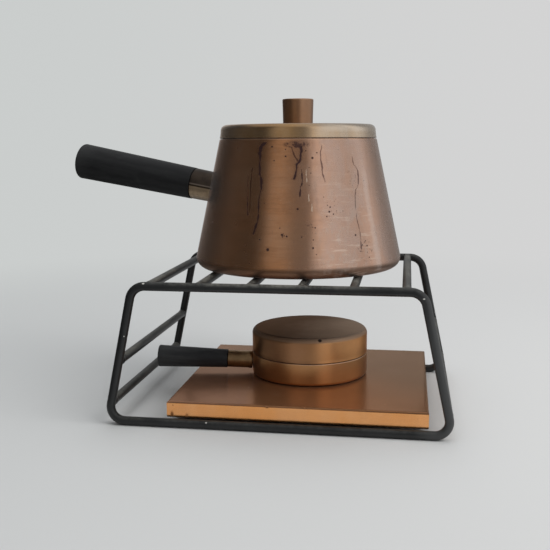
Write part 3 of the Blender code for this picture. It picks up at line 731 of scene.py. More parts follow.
# ------------------------------------------------------------------ tray
def tray_sheet():
    """Copper sheet folded down on four sides, with an open seam at each corner, small dents and a turned-in bottom hem."""
    x0, y0, z0 = TRAY_LO
    x1, y1, z1 = TRAY_HI
    fold, sheet = 1.45, 0.8
    verts, faces = [], []

    def height(x, y):
        """Slight waves and dings of the top, never above the CAD's top face."""
        w = 0.05 * math.sin(x * 0.055 + 1.0) * math.cos(y * 0.047) + 0.03 * math.sin((x + y) * 0.11)
        for dx, dy, size, depth in ((-30, -70, 7, 0.10), (52, -60, 9, 0.12), (118, 30, 12, 0.10), (90, -74, 6, 0.12), (10, 78, 9, 0.10)):
            w -= depth * math.exp(-(((x - dx) / size) ** 2 + ((y - dy) / size) ** 2))
        return z1 - 0.08 + min(0.08, w)

    def ding(x):
        """A notch knocked into the front fold."""
        return 0.55 * math.exp(-(((x - (CX - 6.3)) / 1.5) ** 2)) + 0.25 * math.exp(-(((x - (CX + 22.0)) / 2.2) ** 2))

    nx, ny = 84, 78
    gx = [x0 + fold + (x1 - x0 - 2 * fold) * i / nx for i in range(nx + 1)]
    gy = [y0 + fold + (y1 - y0 - 2 * fold) * j / ny for j in range(ny + 1)]
    top = {}
    for i, x in enumerate(gx):
        for j, y in enumerate(gy):
            top[i, j] = len(verts)
            edge = min(x - gx[0], gx[-1] - x, y - gy[0], gy[-1] - y)
            blend = min(1.0, edge / 4.0)
            z = (z1 - 0.02) * (1 - blend) + height(x, y) * blend
            if j < 3:
                z -= ding(x) * (0.5, 0.2, 0.05)[j]
            verts.append((x, y, z))
    for i in range(nx):
        for j in range(ny):
            faces.append((top[i, j], top[i + 1, j], top[i + 1, j + 1], top[i, j + 1]))
    steps = 6
    rows = [(fold * math.sin(math.radians(90 * k / steps)), fold * (1 - math.cos(math.radians(90 * k / steps)))) for k in range(1, steps + 1)]
    depth = z1 - z0
    rows += [(fold, fold + 0.4), (fold, fold + 3.0), (fold, depth * 0.55), (fold, depth - 2.6), (fold, depth - 0.9), (fold - 0.12, depth - 0.35), (fold - 0.4, depth - 0.02)]

    def skirt(edge, outward, along, gap):
        """Folds one side down from the top's edge vertices. along is the direction the edge runs in."""
        previous = edge
        count = len(edge)
        for out, down in rows:
            ring = []
            for k, v in enumerate(edge):
                bx, by, bz = verts[v]
                ends = 0.0
                if k == 0:
                    ends = -(min(out, fold) - gap)
                if k == count - 1:
                    ends = min(out, fold) - gap
                push = out
                if outward[1] < 0:
                    push -= ding(bx) * 0.6 * max(0.0, 1 - down / 3.5)
                wave = 0.06 * math.sin(bx * 0.09 + by * 0.07) * min(1.0, down / 6) if 0 < k < count - 1 else 0.0
                ring.append(len(verts))
                verts.append((bx + outward[0] * (push - abs(wave)) + along[0] * ends, by + outward[1] * (push - abs(wave)) + along[1] * ends, (z1 - 0.02) - down if down > 0.3 else bz - down))
            for k in range(count - 1):
                faces.append((previous[k], ring[k], ring[k + 1], previous[k + 1]))
            previous = ring

    skirt([top[i, 0] for i in range(nx + 1)], (0, -1), (1, 0), 0.0)
    skirt([top[nx, j] for j in range(ny + 1)], (1, 0), (0, 1), 0.22)
    skirt([top[nx - i, ny] for i in range(nx + 1)], (0, 1), (-1, 0), 0.0)
    skirt([top[0, ny - j] for j in range(ny + 1)], (-1, 0), (0, -1), 0.22)
    o = new_object("tray_copper_sheet", verts, faces, None, 0)
    o.data.shade_smooth()
    solid = o.modifiers.new("sheet", "SOLIDIFY")
    solid.thickness = sheet * MM * 0.85
    solid.offset = -1.0
    solid.use_even_offset = True
    bpy.context.view_layer.update()
    made = bpy.data.meshes.new_from_object(o.evaluated_get(bpy.context.evaluated_depsgraph_get()))
    o.modifiers.clear()
    o.data = made
    made.set_sharp_from_angle(angle=math.radians(50))
    return o


def tray_marks(n, parts):
    """Brown stains at the front skirt's left end and a dark notch in the fold."""
    x, y, z = n.split(n.coord)
    fine, blotch = parts["fine"], parts["blotch"]
    front = n.math("LESS_THAN", y, (TRAY_LO[1] + 1.0) * MM)
    ragged = n.math("MULTIPLY", n.math("SUBTRACT", fine, 0.5), 3.2)
    layers = []
    for px, pz, wide_mm, high_mm, strength in (
        (TRAY_LO[0] + 4.1, TRAY_HI[2] - 9.9, 1.5, 2.4, 0.85), (TRAY_LO[0] + 15.8, TRAY_HI[2] - 10.5, 1.3, 1.9, 0.5),
        (TRAY_LO[0] + 5.0, TRAY_HI[2] - 2.8, 0.5, 0.5, 0.8), (CX - 6.3, TRAY_HI[2] - 1.0, 1.5, 1.1, 0.9), (CX + 22.0, TRAY_HI[2] - 0.7, 1.2, 0.7, 0.6),
    ):
        dx = n.math("MULTIPLY", n.math("SUBTRACT", x, px * MM), 1000 / wide_mm)
        dz = n.math("MULTIPLY", n.math("SUBTRACT", z, pz * MM), 1000 / high_mm)
        d = n.math("SQRT", n.math("ADD", n.math("MULTIPLY", dx, dx), n.math("MULTIPLY", dz, dz)))
        d = n.math("ADD", d, n.math("MULTIPLY", ragged, 0.5))
        layers.append((n.math("MULTIPLY", n.math("MULTIPLY", n.step(d, 1.25, 0.35), front), strength), (0.16, 0.055, 0.018), 0.15, 0.3, -0.3))
    return layers


def tray_copper():
    """The sheet: bright on its skirts, heat-browned and streaked on its top, with a painted reflection greying its back
    right and painted shade over the folds.
    """
    m = copper(
        "tray_copper", clean=(0.97, 0.435, 0.150), brown=(0.74, 0.30, 0.10), pale=(0.95, 0.47, 0.20), roughness=0.22,
        tarnish=0.30, film=0.0, brush=0.30, brush_lines=700.0, seed=3.0, specks=0.35, swelling=0.025, relief=0.02, edge_tint=(0.80, 0.62, 0.50), turned=False, extra=tray_marks,
    )
    t = m.node_tree
    bsdf = next(k for k in t.nodes if k.type == "BSDF_PRINCIPLED")
    before = bsdf.inputs["Base Color"].links[0].from_socket
    n = Nodes.__new__(Nodes)
    n.m, n.t = m, t
    coord = t.nodes.new("ShaderNodeTexCoord").outputs["Object"]
    up = n.split(n.new("NewGeometry").outputs["Normal"])[2]
    cloud = n.noise(n.scaled(coord, (1, 1, 1), (0.4, 0.1, 0)), 16.0, 4, 0.55)
    wipe = n.noise(n.scaled(coord, (7, 60, 1), (0, 0, 0), (0, 0, 0.25)), 1.0, 3, 0.6)
    fine = n.noise(coord, 330.0, 5, 0.65)
    x, y, z = n.split(coord)
    # left third is a duller violet brown, then orange brown, then a grey brown at the back right that is a painted
    # reflection of the bright wall
    edge = n.math("ADD", x, n.math("MULTIPLY", n.math("SUBTRACT", cloud, 0.5), 0.035))
    left = n.mix(n.step(n.math("ADD", edge, n.math("MULTIPLY", y, -0.12)), 0.010, 0.022), (0.350, 0.178, 0.112), (0.400, 0.185, 0.090))
    uneven = n.mix(n.math("MULTIPLY", n.step(n.math("ADD", n.math("MULTIPLY", cloud, 0.6), n.math("MULTIPLY", wipe, 0.4)), 0.42, 0.62), 0.30), left, (0.240, 0.120, 0.072))
    back = n.step(n.math("ADD", n.math("MULTIPLY", x, 0.55), n.math("MULTIPLY", y, 0.75)), -0.005, 0.085)
    dull = n.mix(n.math("MULTIPLY", back, 0.85), uneven, (0.232, 0.152, 0.102))
    # pale scuffs and grains of dust
    scuff = n.noise(n.scaled(coord, (22, 260, 1), (0.2, 0, 0), (0, 0, -0.12)), 1.0, 2, 0.5)
    thin = n.math("MULTIPLY", n.step(n.math("ABSOLUTE", n.math("SUBTRACT", scuff, 0.5)), 0.010, 0.0), n.step(fine, 0.52, 0.62))
    grain, tone = n.cells(n.scaled(coord, (1, 1, 0.2)), 120.0)
    dust = n.math("MULTIPLY", n.math("LESS_THAN", grain, 0.055), n.math("GREATER_THAN", n.split(tone)[0], 0.80))
    pale = n.math("MAXIMUM", n.math("MULTIPLY", thin, 0.35), n.math("MULTIPLY", dust, 0.6))
    for px, py, lx, ly in ((-36.5, -34.7, 2.4, 1.4), (28.2, -58.5, 4.0, 1.5), (30.5, -60.5, 2.6, 0.9)):
        dx = n.math("MULTIPLY", n.math("SUBTRACT", x, px * MM), 1000 / lx)
        dy = n.math("MULTIPLY", n.math("SUBTRACT", y, py * MM), 1000 / ly)
        d = n.math("ADD", n.math("ADD", n.math("MULTIPLY", dx, dx), n.math("MULTIPLY", dy, dy)), n.math("MULTIPLY", n.math("SUBTRACT", fine, 0.5), 4.0))
        pale = n.math("MAXIMUM", pale, n.math("MULTIPLY", n.step(d, 0.8, 0.1), 0.55))
    dull = n.mix(pale, dull, (0.52, 0.36, 0.25))
    # painted shade on the rounded folds
    on_fold = n.math("MULTIPLY", n.step(up, 0.10, 0.30), n.step(up, 0.90, 0.60))
    dull = n.mix(n.math("MULTIPLY", on_fold, 0.45), dull, (0.10, 0.045, 0.022))
    colour = n.mix(n.math("MULTIPLY", n.step(up, 0.10, 0.34), 0.96), before, dull)
    t.links.new(colour, bsdf.inputs["Base Color"])
    # the oxide on the top hides part of the metal
    metal = bsdf.inputs["Metallic"].links[0].from_socket
    t.links.new(n.math("SUBTRACT", metal, n.math("MULTIPLY", n.step(up, 0.30, 0.80), 0.36), clamp=True), bsdf.inputs["Metallic"])
    return m


dress(tray_sheet(), tray_copper(), "tray", "copper", "tray_copper_cover")
repaint("tray_core_board", hardboard("tray_board"))

# ------------------------------------------------------------------ burner
at_burner = upright(BX, BY)
BR, BS = 48.7, 0.9
burner_axis = handle_matrix(BX, BY, 27.45, 6.9, 2.1)


def bowl_marks(n, parts):
    """Painted contact shade at the foot, a painted highlight along the rim at the front, and a little browner in level
    bands.
    """
    # painted shade at the foot where the bowl stands on the tray
    foot = n.math("MULTIPLY", n.step(parts["z"], (BOWL_Z + 1.2) * MM, (BOWL_Z + 0.2) * MM), 0.5)
    # painted highlight on the rim at the front
    rim = n.math("MULTIPLY", n.step(parts["z"], (BOWL_TOP - 0.75) * MM, (BOWL_TOP - 0.45) * MM), n.step(parts["angle"], -112.0, -88.0))
    return [(foot, (0.05, 0.022, 0.010), 0.1, 0.2, 0.0), (n.math("MULTIPLY", rim, 0.60), (0.90, 0.62, 0.44), 0.05, 0.10, 0.0)]


burner_copper = copper(
    "burner_copper", clean=(0.68, 0.36, 0.155), brown=(0.57, 0.295, 0.125), pale=(0.68, 0.38, 0.18), dull=(0.68, 0.40, 0.20), dull_film_and_painted_light_amount=0.45,
    roughness=0.28, tarnish=0.5, film=0.02, scratched=0.05, patchy=0.25, brush=0.22, seed=9.0, specks=0.3, speck_share=0.95, swelling=0.02, relief=0.04, haze=0.06, edge_tint=(0.9, 0.78, 0.66), edges=((BOWL_TOP, 0.7),), extra=bowl_marks,
)


def cap_marks(n, parts):
    """A brown top with painted light, darker to the left as painted shade and paler and greyer to the right as a
    painted reflection; a painted dark reflection of the pot round the shoulder, painted shade of the gap at the lower
    edge, and a burnt speck on the shoulder.
    """
    x, y, z = n.split(n.coord)
    up = n.split(n.new("NewGeometry").outputs["Normal"])[2]
    wander = n.math("ADD", x, n.math("MULTIPLY", n.math("SUBTRACT", parts["cloud"], 0.5), 0.05))
    # painted light on the top: dark on the left as painted shade, paler and greyer on the right as a painted reflection
    tone = n.mix(n.step(n.math("ADD", wander, n.math("MULTIPLY", y, -0.25)), -0.020, 0.048), (0.078, 0.050, 0.034), (0.640, 0.540, 0.440))
    top = n.math("MULTIPLY", n.step(up, 0.05, 0.90), 0.96)
    # painted dark reflection of the pot's underside round the shoulder
    shoulder = n.math("MULTIPLY", n.math("MULTIPLY", n.step(up, 0.06, 0.40), n.step(up, 0.995, 0.86)), 0.80)
    a = math.radians(-73.3)
    spot = n.new("VectorMath", {0: n.coord, 1: (47.4 * MM * math.cos(a), 47.4 * MM * math.sin(a), (CAP_TOP - 2.4) * MM)}, operation="DISTANCE").outputs["Value"]
    d = n.math("ADD", spot, n.math("MULTIPLY", n.math("SUBTRACT", parts["fine"], 0.5), 0.0012))
    burnt = n.step(d, 1.75 * MM, 1.0 * MM)
    # painted shade in the gap at the cap's lower edge
    gap = n.math("MULTIPLY", n.step(z, (CAP_Z + 0.55) * MM, (CAP_Z + 0.30) * MM), 0.8)
    return [(top, tone, 0.12, 0.0, 0.0), (shoulder, (0.275, 0.170, 0.108), 0.12, 0.55, 0.0), (gap, (0.09, 0.040, 0.022), 0.1, 0.0, 0.0), (burnt, (0.012, 0.008, 0.007), 0.3, 0.9, 1.0)]


cap_copper = copper(
    "snuffer_copper", clean=(0.41, 0.205, 0.100), brown=(0.34, 0.166, 0.078), pale=(0.42, 0.220, 0.116), dull=(0.72, 0.355, 0.146), dull_film_and_painted_light_amount=0.85,
    roughness=0.28, tarnish=0.4, film=0.0, haze=0.05, scratched=0.04, patchy=0.25, brush=0.22, seed=14.0, specks=0.25, speck_share=0.95, swelling=0.02, relief=0.04, edge_tint=(0.64, 0.49, 0.41), extra=cap_marks,
)
bowl = lathe(
    "burner_copper_bowl",
    rounded(
        [(0, BOWL_Z + BS), (BR - BS, BOWL_Z + BS), (BR - BS, BOWL_TOP), (BR, BOWL_TOP), (BR, BOWL_Z), (40, BOWL_Z), (38.5, BOWL_Z + 0.35), (0, BOWL_Z + 0.35)],
        [0, 1.6, 0.25, 0.42, 2.5, 0.4, 0.6, 0],
        n=8,
    ),
    at_burner, 160,
)
dress(bowl, burner_copper, "burner", "copper", "burner_bowl")
er = 4.3


def cap_outline():
    ro, ri = BR, BR - BS
    dome = 1.0
    shoulder = CAP_TOP - dome
    out = [((ro - er) * i / 14, shoulder + dome * (1 - (i / 14) ** 2)) for i in range(14)]
    out += arc(ro - er, shoulder - er, er, 90, 0, 14)
    out += [(ro, shoulder - er - 0.5), (ro, CAP_Z + 4), (ro, CAP_Z + 1.1), (ro + 0.04, CAP_Z + 0.8)]
    out += arc(ro - 0.36, CAP_Z + 0.40, 0.40, 0, -90, 6)
    out += [(ri + 0.25, CAP_Z), (ri, CAP_Z + 0.25), (ri, CAP_Z + 1.0), (ri, shoulder - er - 0.5)]
    out += arc(ro - er, shoulder - er, er - BS, 0, 90, 10)
    out += [((ro - er) * i / 8, shoulder - BS + dome * (1 - (i / 8) ** 2)) for i in range(7, -1, -1)]
    return out


dress(lathe("burner_snuffer_cap", cap_outline(), at_burner, 160), cap_copper, "snuffer", "copper", "burner_snuffer_lid")

# collar that the snuffer fits over, a gauze of woven wire in it, and the wadding below
lo, hi = corners("burner_collar")
collar = lathe(
    "burner_inner_collar",
    rounded([(46.65, lo[2]), (46.65, hi[2] - 0.4), (46.9, hi[2]), (47.35, hi[2] - 0.35), (47.35, lo[2])], [0.2, 0.3, 0.25, 0.25, 0.2], closed=True, n=4),
    at_burner, 144, closed=True,
)
dress(collar, burner_copper, "burner", "copper", "burner_collar")
glo, ghi = corners("burner_gauze")
gr = (ghi[0] - glo[0]) / 2
rim = lathe(
    "burner_gauze_rim",
    rounded([(gr - 0.8, glo[2] + 0.05), (gr - 0.8, ghi[2]), (gr, ghi[2]), (gr, glo[2]), (gr - 2.6, glo[2]), (gr - 2.6, glo[2] + 0.3)], [0.2, 0.3, 0.3, 0.3, 0.1, 0.1], closed=True, n=4),
    at_burner, 120, closed=True,
)
wire_steel = steel("gauze_wire", (0.34, 0.31, 0.28), (0.16, 0.12, 0.09), 1.0)
dress(rim, wire_steel, "burner", "steel", "burner_gauze")


def wire_gauze():
    """Plain-woven wire cloth inside the rim."""
    pitch, wire, sides = 2.4, 0.24, 5
    z = glo[2] + 0.45
    verts, faces = [], []
    reach = gr - 0.9
    count = int(reach / pitch)
    for way in (0, 1):
        for i in range(-count, count + 1):
            a = i * pitch
            half = math.sqrt(max(0.0, reach * reach - a * a))
            steps = max(4, int(half * 4 / pitch))
            ring = None
            for k in range(steps + 1):
                b = -half + 2 * half * k / steps
                lift = wire * 0.95 * math.cos(math.pi * b / pitch) * (1 if (i + way) % 2 else -1)
                p = (a, b, z + lift) if way else (b, a, z + lift)
                now = []
                for s in range(sides):
                    t = 2 * math.pi * s / sides
                    c, d = wire * math.cos(t), wire * math.sin(t)
                    now.append(len(verts))
                    verts.append((p[0] + c, p[1], p[2] + d) if way else (p[0], p[1] + c, p[2] + d))
                if ring:
                    for s in range(sides):
                        m = (s + 1) % sides
                        q = (ring[s], ring[m], now[m], now[s])
                        faces.append(q if way else q[::-1])
                ring = now
    return new_object("burner_wire_gauze", verts, faces, at_burner, 0)


dress(wire_gauze(), wire_steel, "burner", "steel")
wlo, whi = corners("burner_wadding")
wr = (whi[0] - wlo[0]) / 2
lumps = random.Random(5)
bumps = [(lumps.uniform(-wr, wr), lumps.uniform(-wr, wr), lumps.uniform(4, 9), lumps.uniform(-0.5, 0.1)) for _ in range(60)]


def puff(t, r, z):
    x, y = r * math.cos(t), r * math.sin(t)
    d = sum(h * math.exp(-((x - bx) ** 2 + (y - by) ** 2) / (s * s)) for bx, by, s, h in bumps)
    return r - 0.3 - 0.3 * math.sin(11 * t) * (r / wr) ** 4, (z + min(0.0, d) if z > (wlo[2] + whi[2]) / 2 else z)


wad = lathe(
    "burner_fibre_pad",
    [(wr * i / 12, whi[2] - 0.1) for i in range(12)] + rounded([(wr - 3, whi[2] - 0.1), (wr, whi[2] - 0.1), (wr, wlo[2]), (wr - 4, wlo[2])], [0, 2.4, 2.4, 0], n=6) + [(0, wlo[2])],
    at_burner, 96, shape=puff,
)
dress(wad, fibre_wadding("wadding_fibre"), "burner", "wadding", "burner_wadding")

# burner handle
ferrule_bronze = ferrule_metal("burner_ferrule", (0.52, 0.33, 0.17), (0.20, 0.13, 0.08), None, 4.0)
start = math.sqrt(BR * BR - 7.25 * 7.25) + 0.2


def cope_burner(t, r, z):
    """The ferrule's inner end follows the round bowl."""
    if z < 60:
        across = r * math.cos(t)
        z = z - 52 + math.sqrt(BR * BR - across * across) + 3.3
    return r, z


fer = lathe(
    "burner_handle_sleeve",
    [(6.45, 49.2), (6.45, 52.5), (6.45, 66.0), (6.45, 69.8), (6.9, 70.0), (7.25, 69.7), (7.25, 69.0), (7.25, 62.0), (7.25, 52.6), (7.5, 52.2), (7.62, 51.6), (7.62, 50.2), (7.5, 49.4), (7.3, 49.2)],
    burner_axis, 96, closed=True, shape=cope_burner,
)
dress(fer, ferrule_bronze, "burner", "ferrule_metal", "burner_handle_ferrule")


def grip(name, s0, s1, r0, r1, edge, bore, depth, matrix, steps=96):
    """A turned grip: chamfered neck, barely swelling sides, a rounded and faintly dished end."""
    n = 22
    out = [(0, s1 - 0.35), (r1 * 0.45, s1 - 0.25), (r1 - edge - 1.6, s1 - 0.02)]
    out += arc(r1 - edge, s1 - edge, edge, 90, 4, 10)
    for k in range(n, -1, -1):
        t = k / n
        s = s0 + 1.2 + (s1 - edge - 0.6 - s0 - 1.2) * t
        out.append((r0 + (r1 - r0) * ((s - s0) / (s1 - s0)), s))
    out += arc(r0 - 0.5, s0 + 0.5, 0.5, 0, -90, 5)
    out += [(bore + 0.3, s0), (bore, s0 + 0.3), (bore, s0 + depth), (0, s0 + depth)]
    return lathe(name, out, matrix, steps)


# the burner's grip takes tone 2.6: its base colour painted lighter where the pot keeps the light off it
dress(grip("burner_handle_wood", 70.3, 130.0, 7.69, 9.31, 1.3, 2.3, 32, burner_axis), black_grip("burner_grip_black", 130.0, 3.0, 2.6), "burner", "black_grip", "burner_handle_grip")
repaint("burner_handle_stud", steel("stud_steel", seed=2.0))

# ------------------------------------------------------------------ pot
at_pot = upright(PX, PY)
pot_axis = handle_matrix(PX, PY, 162.36, -8.3, 10.1)
PR, PT, PE, PS = 84.9, 64.25, 8.0, 1.2
slope = math.degrees(math.atan2(PR - PT, POT_SEAM - POT_Z - PE))


def pot_outline():
    base_r, base_z = PR - PE, POT_Z + PE
    outer = arc(base_r, base_z, PE, -90, slope, 20)
    a, b = Vector(outer[-1]), Vector((PT, POT_SEAM))
    wall = [tuple(a.lerp(b, t)) for t in (0.006, 0.04, 0.12, 0.25, 0.4, 0.55, 0.7, 0.82, 0.92, 0.97, 0.988)]
    inner = arc(base_r, base_z, PE - PS, -90, slope, 12)
    c, d = Vector(inner[-1]), Vector((PT - PS / math.cos(math.radians(slope)), POT_SEAM))
    side = [tuple(c.lerp(d, t)) for t in (0.01, 0.1, 0.4, 0.7, 0.94, 0.988)]
    lip = arc((b.x + d.x) / 2, POT_SEAM - 0.62, (b.x - d.x) / 2, 180, 0, 10)
    full = [(0, POT_Z + PS), (40, POT_Z + PS), (base_r - 0.6, POT_Z + PS)] + inner + side + lip + (outer + wall)[::-1]
    return full + [(base_r - 0.6, POT_Z), (66, POT_Z), (64.5, POT_Z + 0.3), (0, POT_Z + 0.35)], len(full)


# long runs and drips of dried spill: (angle in degrees, height, width) in mm, down each run
RUNS = [
    [(-104.4, 213.8, 0.9), (-106.7, 211.2, 2.1), (-108.2, 208.6, 1.9), (-107.5, 201.8, 1.1), (-107.3, 197.6, 0.8), (-107.0, 191.4, 1.0), (-105.3, 185.2, 0.95), (-105.0, 179.0, 0.8), (-105.8, 171.7, 0.7), (-105.6, 164.4, 1.0), (-105.3, 159.3, 0.8), (-106.3, 152.0, 0.9), (-107.4, 145.0, 0.9)],
    [(-115.0, 189.2, 0.3), (-113.9, 176.6, 0.4), (-113.1, 167.3, 0.35), (-112.1, 159.5, 1.1)],
    [(-112.4, 194.5, 0.35), (-112.4, 185.1, 0.45), (-111.7, 172.5, 0.4), (-111.2, 162.1, 0.3)],
    [(-80.1, 211.0, 1.5), (-80.9, 203.8, 0.95), (-81.1, 199.7, 0.95), (-83.3, 196.6, 0.8), (-83.7, 191.5, 0.8), (-85.0, 186.0, 0.95)],
    [(-86.5, 210.0, 0.5), (-85.6, 205.9, 0.5), (-82.4, 199.2, 0.5)],
    [(-80.3, 193.5, 0.4), (-80.0, 189.4, 0.5), (-79.9, 184.3, 0.6), (-81.2, 179.1, 0.6), (-81.4, 173.0, 0.8)],
    [(-66.6, 210.9, 0.35), (-68.0, 201.6, 0.35), (-67.4, 196.5, 0.55), (-67.2, 190.3, 0.6), (-65.8, 184.1, 0.35)],
    [(-44.8, 202.4, 0.3), (-44.4, 197.1, 0.4), (-41.8, 190.7, 0.5), (-42.4, 183.3, 0.55), (-45.7, 176.1, 0.45), (-47.1, 166.7, 0.3), (-47.2, 156.3, 0.3), (-46.4, 145.7, 0.4), (-46.9, 133.2, 0.5)],
]
SPOTS = [
    (-127.2, 209.1, 0.5), (-99.6, 210.1, 0.8), (-97.7, 199.8, 0.5), (-90.3, 203.0, 0.75), (-73.3, 201.7, 0.85), (-75.5, 194.5, 0.5), (-75.8, 181.7, 0.5),
    (-82.7, 164.3, 0.95), (-103.4, 141.6, 0.75), (-98.5, 134.4, 1.25), (-92.4, 150.4, 0.5), (-91.1, 145.5, 0.8), (-88.5, 144.4, 0.8), (-80.5, 143.9, 0.6),
    (-73.1, 150.6, 0.6), (-74.6, 135.8, 0.8), (-49.6, 143.9, 0.8), (-43.2, 139.1, 0.55), (-42.5, 135.3, 0.7), (-42.0, 126.5, 0.5), (-112.1, 159.5, 1.0),
    (-102.2, 168.5, 0.45), (-84.7, 140.3, 0.4), (-74.3, 141.7, 0.5), (-63.9, 165.4, 0.6), (-64.6, 162.0, 0.7), (-66.2, 158.6, 0.55), (-62.2, 160.2, 0.45), (-65.4, 166.8, 0.4),
    (-87.0, 165.0, 0.4), (-90.5, 208.0, 0.6), (-77.5, 207.0, 0.5), (-70.2, 205.5, 0.45), (-73.0, 131.0, 0.5), (-108.0, 124.0, 0.6), (-112.0, 137.0, 0.5), (-120.0, 152.0, 0.5),
]


PALE_RUNS = [
    [(-77.1, 193.5, 0.45), (-77.3, 189.0, 0.6), (-77.2, 184.2, 0.4)],
    [(-76.1, 175.0, 0.5), (-76.2, 169.9, 0.4)],
    [(-74.6, 167.8, 0.5), (-74.4, 162.7, 0.4)],
]


def pot_marks(n, parts):
    angle, z, fine, moved = parts["angle"], parts["z"], parts["fine"], parts["moved"]
    high = n.math("MULTIPLY", z, 1000.0)  # mm
    arc_mm = n.math("MULTIPLY", parts["r"], math.pi / 180 * 1000)  # mm per degree
    ragged = n.math("MULTIPLY", n.math("SUBTRACT", fine, 0.5), 1.1)
    wobble = n.math("MULTIPLY", n.math("SUBTRACT", n.noise(moved, 260.0, 3, 0.6), 0.5), 1.6)

    beads = n.step(n.noise(n.scaled(moved, (1, 1, 1), (4, 2, 7)), 230.0, 2, 0.5), 0.34, 0.62)

    def run_mask(run, spread):
        top, bottom = run[0][1], run[-1][1]
        at = n.curve(high, [(p[1], p[0]) for p in run])
        width = n.curve(high, [(p[1], p[2]) for p in run])
        off = n.math("ADD", n.math("MULTIPLY", n.math("SUBTRACT", angle, at), arc_mm), wobble)
        off = n.math("ADD", n.math("ABSOLUTE", off), n.math("MULTIPLY", ragged, 0.9))
        width = n.math("MULTIPLY", width, n.math("ADD", 0.30, n.math("MULTIPLY", beads, 0.75)))
        inside = n.step(n.math("SUBTRACT", off, width), spread, -0.15)
        ends = n.math("MULTIPLY", n.step(high, top + 0.8, top - 0.8), n.step(high, bottom - 0.8, bottom + 0.4))
        return n.math("MULTIPLY", inside, ends)

    marks, thin, halo, pale = [], [], [], []
    for run in RUNS:
        if max(p[2] for p in run) > 0.7:
            marks.append(n.math("MULTIPLY", run_mask(run, 0.30), 0.95))
        else:
            thin.append(n.math("MULTIPLY", run_mask(run, 0.35), 0.72))
    for run in RUNS[:1] + RUNS[3:4]:
        halo.append(n.math("MULTIPLY", run_mask(run, 1.9), 0.35))
    for run in PALE_RUNS:
        pale.append(n.math("MULTIPLY", run_mask(run, 0.25), 0.7))
    for a, h, r in SPOTS:
        t = math.radians(a)
        rr = PT + (POT_SEAM - h) * math.tan(math.radians(slope)) - 0.1
        d = n.new("VectorMath", {0: n.coord, 1: (rr * MM * math.cos(t), rr * MM * math.sin(t), h * MM)}, operation="DISTANCE").outputs["Value"]
        d = n.math("ADD", n.math("MULTIPLY", d, 1000.0), n.math("MULTIPLY", ragged, 0.9))
        marks.append(n.math("MULTIPLY", n.step(d, r * 1.2 + 0.14, r * 0.6), 0.95))
    # boiled-over patch under the rim, mottled
    patch_at = n.math("MULTIPLY", n.math("SUBTRACT", angle, -83.5), arc_mm)
    oval = n.math("ADD", n.math("POWER", n.math("MULTIPLY", patch_at, 1 / 9.5), 2.0), n.math("POWER", n.math("MULTIPLY", n.math("SUBTRACT", high, 211.6), 1 / 2.6), 2.0))
    mottle = n.noise(moved, 330.0, 4, 0.7)
    patch = n.math("MULTIPLY", n.step(oval, 1.5, 0.4), n.math("ADD", 0.30, n.math("MULTIPLY", n.step(mottle, 0.40, 0.54), 0.70)))
    marks.append(n.math("MULTIPLY", patch, 0.9))
    # a second, fainter splash low on the front, and one to the right
    for centre_a, centre_z, half_a, half_z, amount in ((-91.5, 146.5, 5.5, 3.6, 0.8), (-44.0, 131.0, 7.0, 11.0, 0.75), (-76.5, 147.0, 4.0, 9.0, 0.6), (-62.0, 163.0, 7.0, 9.0, 0.5), (-48.0, 186.0, 6.5, 7.0, 0.4)):
        da = n.math("MULTIPLY", n.math("MULTIPLY", n.math("SUBTRACT", angle, centre_a), arc_mm), 1 / (half_a * 1.3))
        dz = n.math("MULTIPLY", n.math("SUBTRACT", high, centre_z), 1 / half_z)
        zone = n.step(n.math("ADD", n.math("MULTIPLY", da, da), n.math("MULTIPLY", dz, dz)), 1.3, 0.3)
        dots = n.noise(n.scaled(moved, (1, 1, 1), (centre_a, 0, 0)), 520.0, 2, 0.5)
        marks.append(n.math("MULTIPLY", n.math("MULTIPLY", zone, n.step(dots, 0.635, 0.68)), amount))
    # faint vertical washes of old runs all round
    wash = n.noise(n.scaled(moved, (150, 150, 5)), 1.0, 4, 0.6)
    washes = n.math("MULTIPLY", n.math("MULTIPLY", n.step(wash, 0.60, 0.74), n.step(high, 118.0, 205.0)), 0.28)
    # pale dried-on haze to the front right, and in traces elsewhere
    sector = n.step(n.math("ABSOLUTE", n.math("SUBTRACT", angle, -54.0)), 26.0, 8.0)
    patches = n.noise(n.scaled(moved, (1, 1, 0.6)), 170.0, 6, 0.66)
    low = n.step(high, 200.0, 140.0)
    haze = n.math("MULTIPLY", n.math("MULTIPLY", sector, n.math("ADD", n.math("MULTIPLY", low, 0.6), 0.4)), n.step(patches, 0.46, 0.66))
    haze = n.math("MAXIMUM", n.math("MULTIPLY", haze, 0.45), n.math("MULTIPLY", n.step(patches, 0.56, 0.74), 0.16))
    level_streaks = n.noise(n.scaled(moved, (60, 60, 420)), 1.0, 3, 0.6)
    glints = n.math("MULTIPLY", n.math("MULTIPLY", n.step(level_streaks, 0.55, 0.68), sector), n.math("MULTIPLY", n.math("ADD", low, 0.15), 0.40))
    foot = n.math("MULTIPLY", n.step(high, POT_Z + 10.0, POT_Z + 5.5), 0.85)
    streak = n.math("MULTIPLY", run_mask([(-36.8, 206.0, 0.8), (-36.4, 190.0, 1.3), (-36.4, 170.0, 1.1), (-35.8, 145.0, 1.5), (-35.0, 116.0, 1.8)], 3.6), 0.27)
    streak = n.math("MULTIPLY", streak, n.step(high, 206.0, 180.0))
    return [
        (foot, (0.200, 0.110, 0.068), 0.28, 0.0, 0.0),
        (streak, (0.84, 0.70, 0.63), -0.02, 0.0, 0.0),
        (haze, (0.60, 0.47, 0.40), 0.07, 0.0, 0.0),
        (glints, (0.86, 0.66, 0.54), -0.06, 0.0, 0.3),
        (n.biggest(halo), (0.16, 0.07, 0.04), 0.08, 0.05, 0.1),
        (n.biggest(thin), (0.070, 0.024, 0.026), 0.10, 0.0, 0.3),
        (washes, (0.20, 0.09, 0.05), 0.06, 0.0, 0.0),
        (n.biggest(pale), (0.72, 0.58, 0.46), 0.2, 0.5, 0.5),
        (n.biggest(marks), (0.036, 0.011, 0.014), 0.14, 0.45, 0.9),
    ]


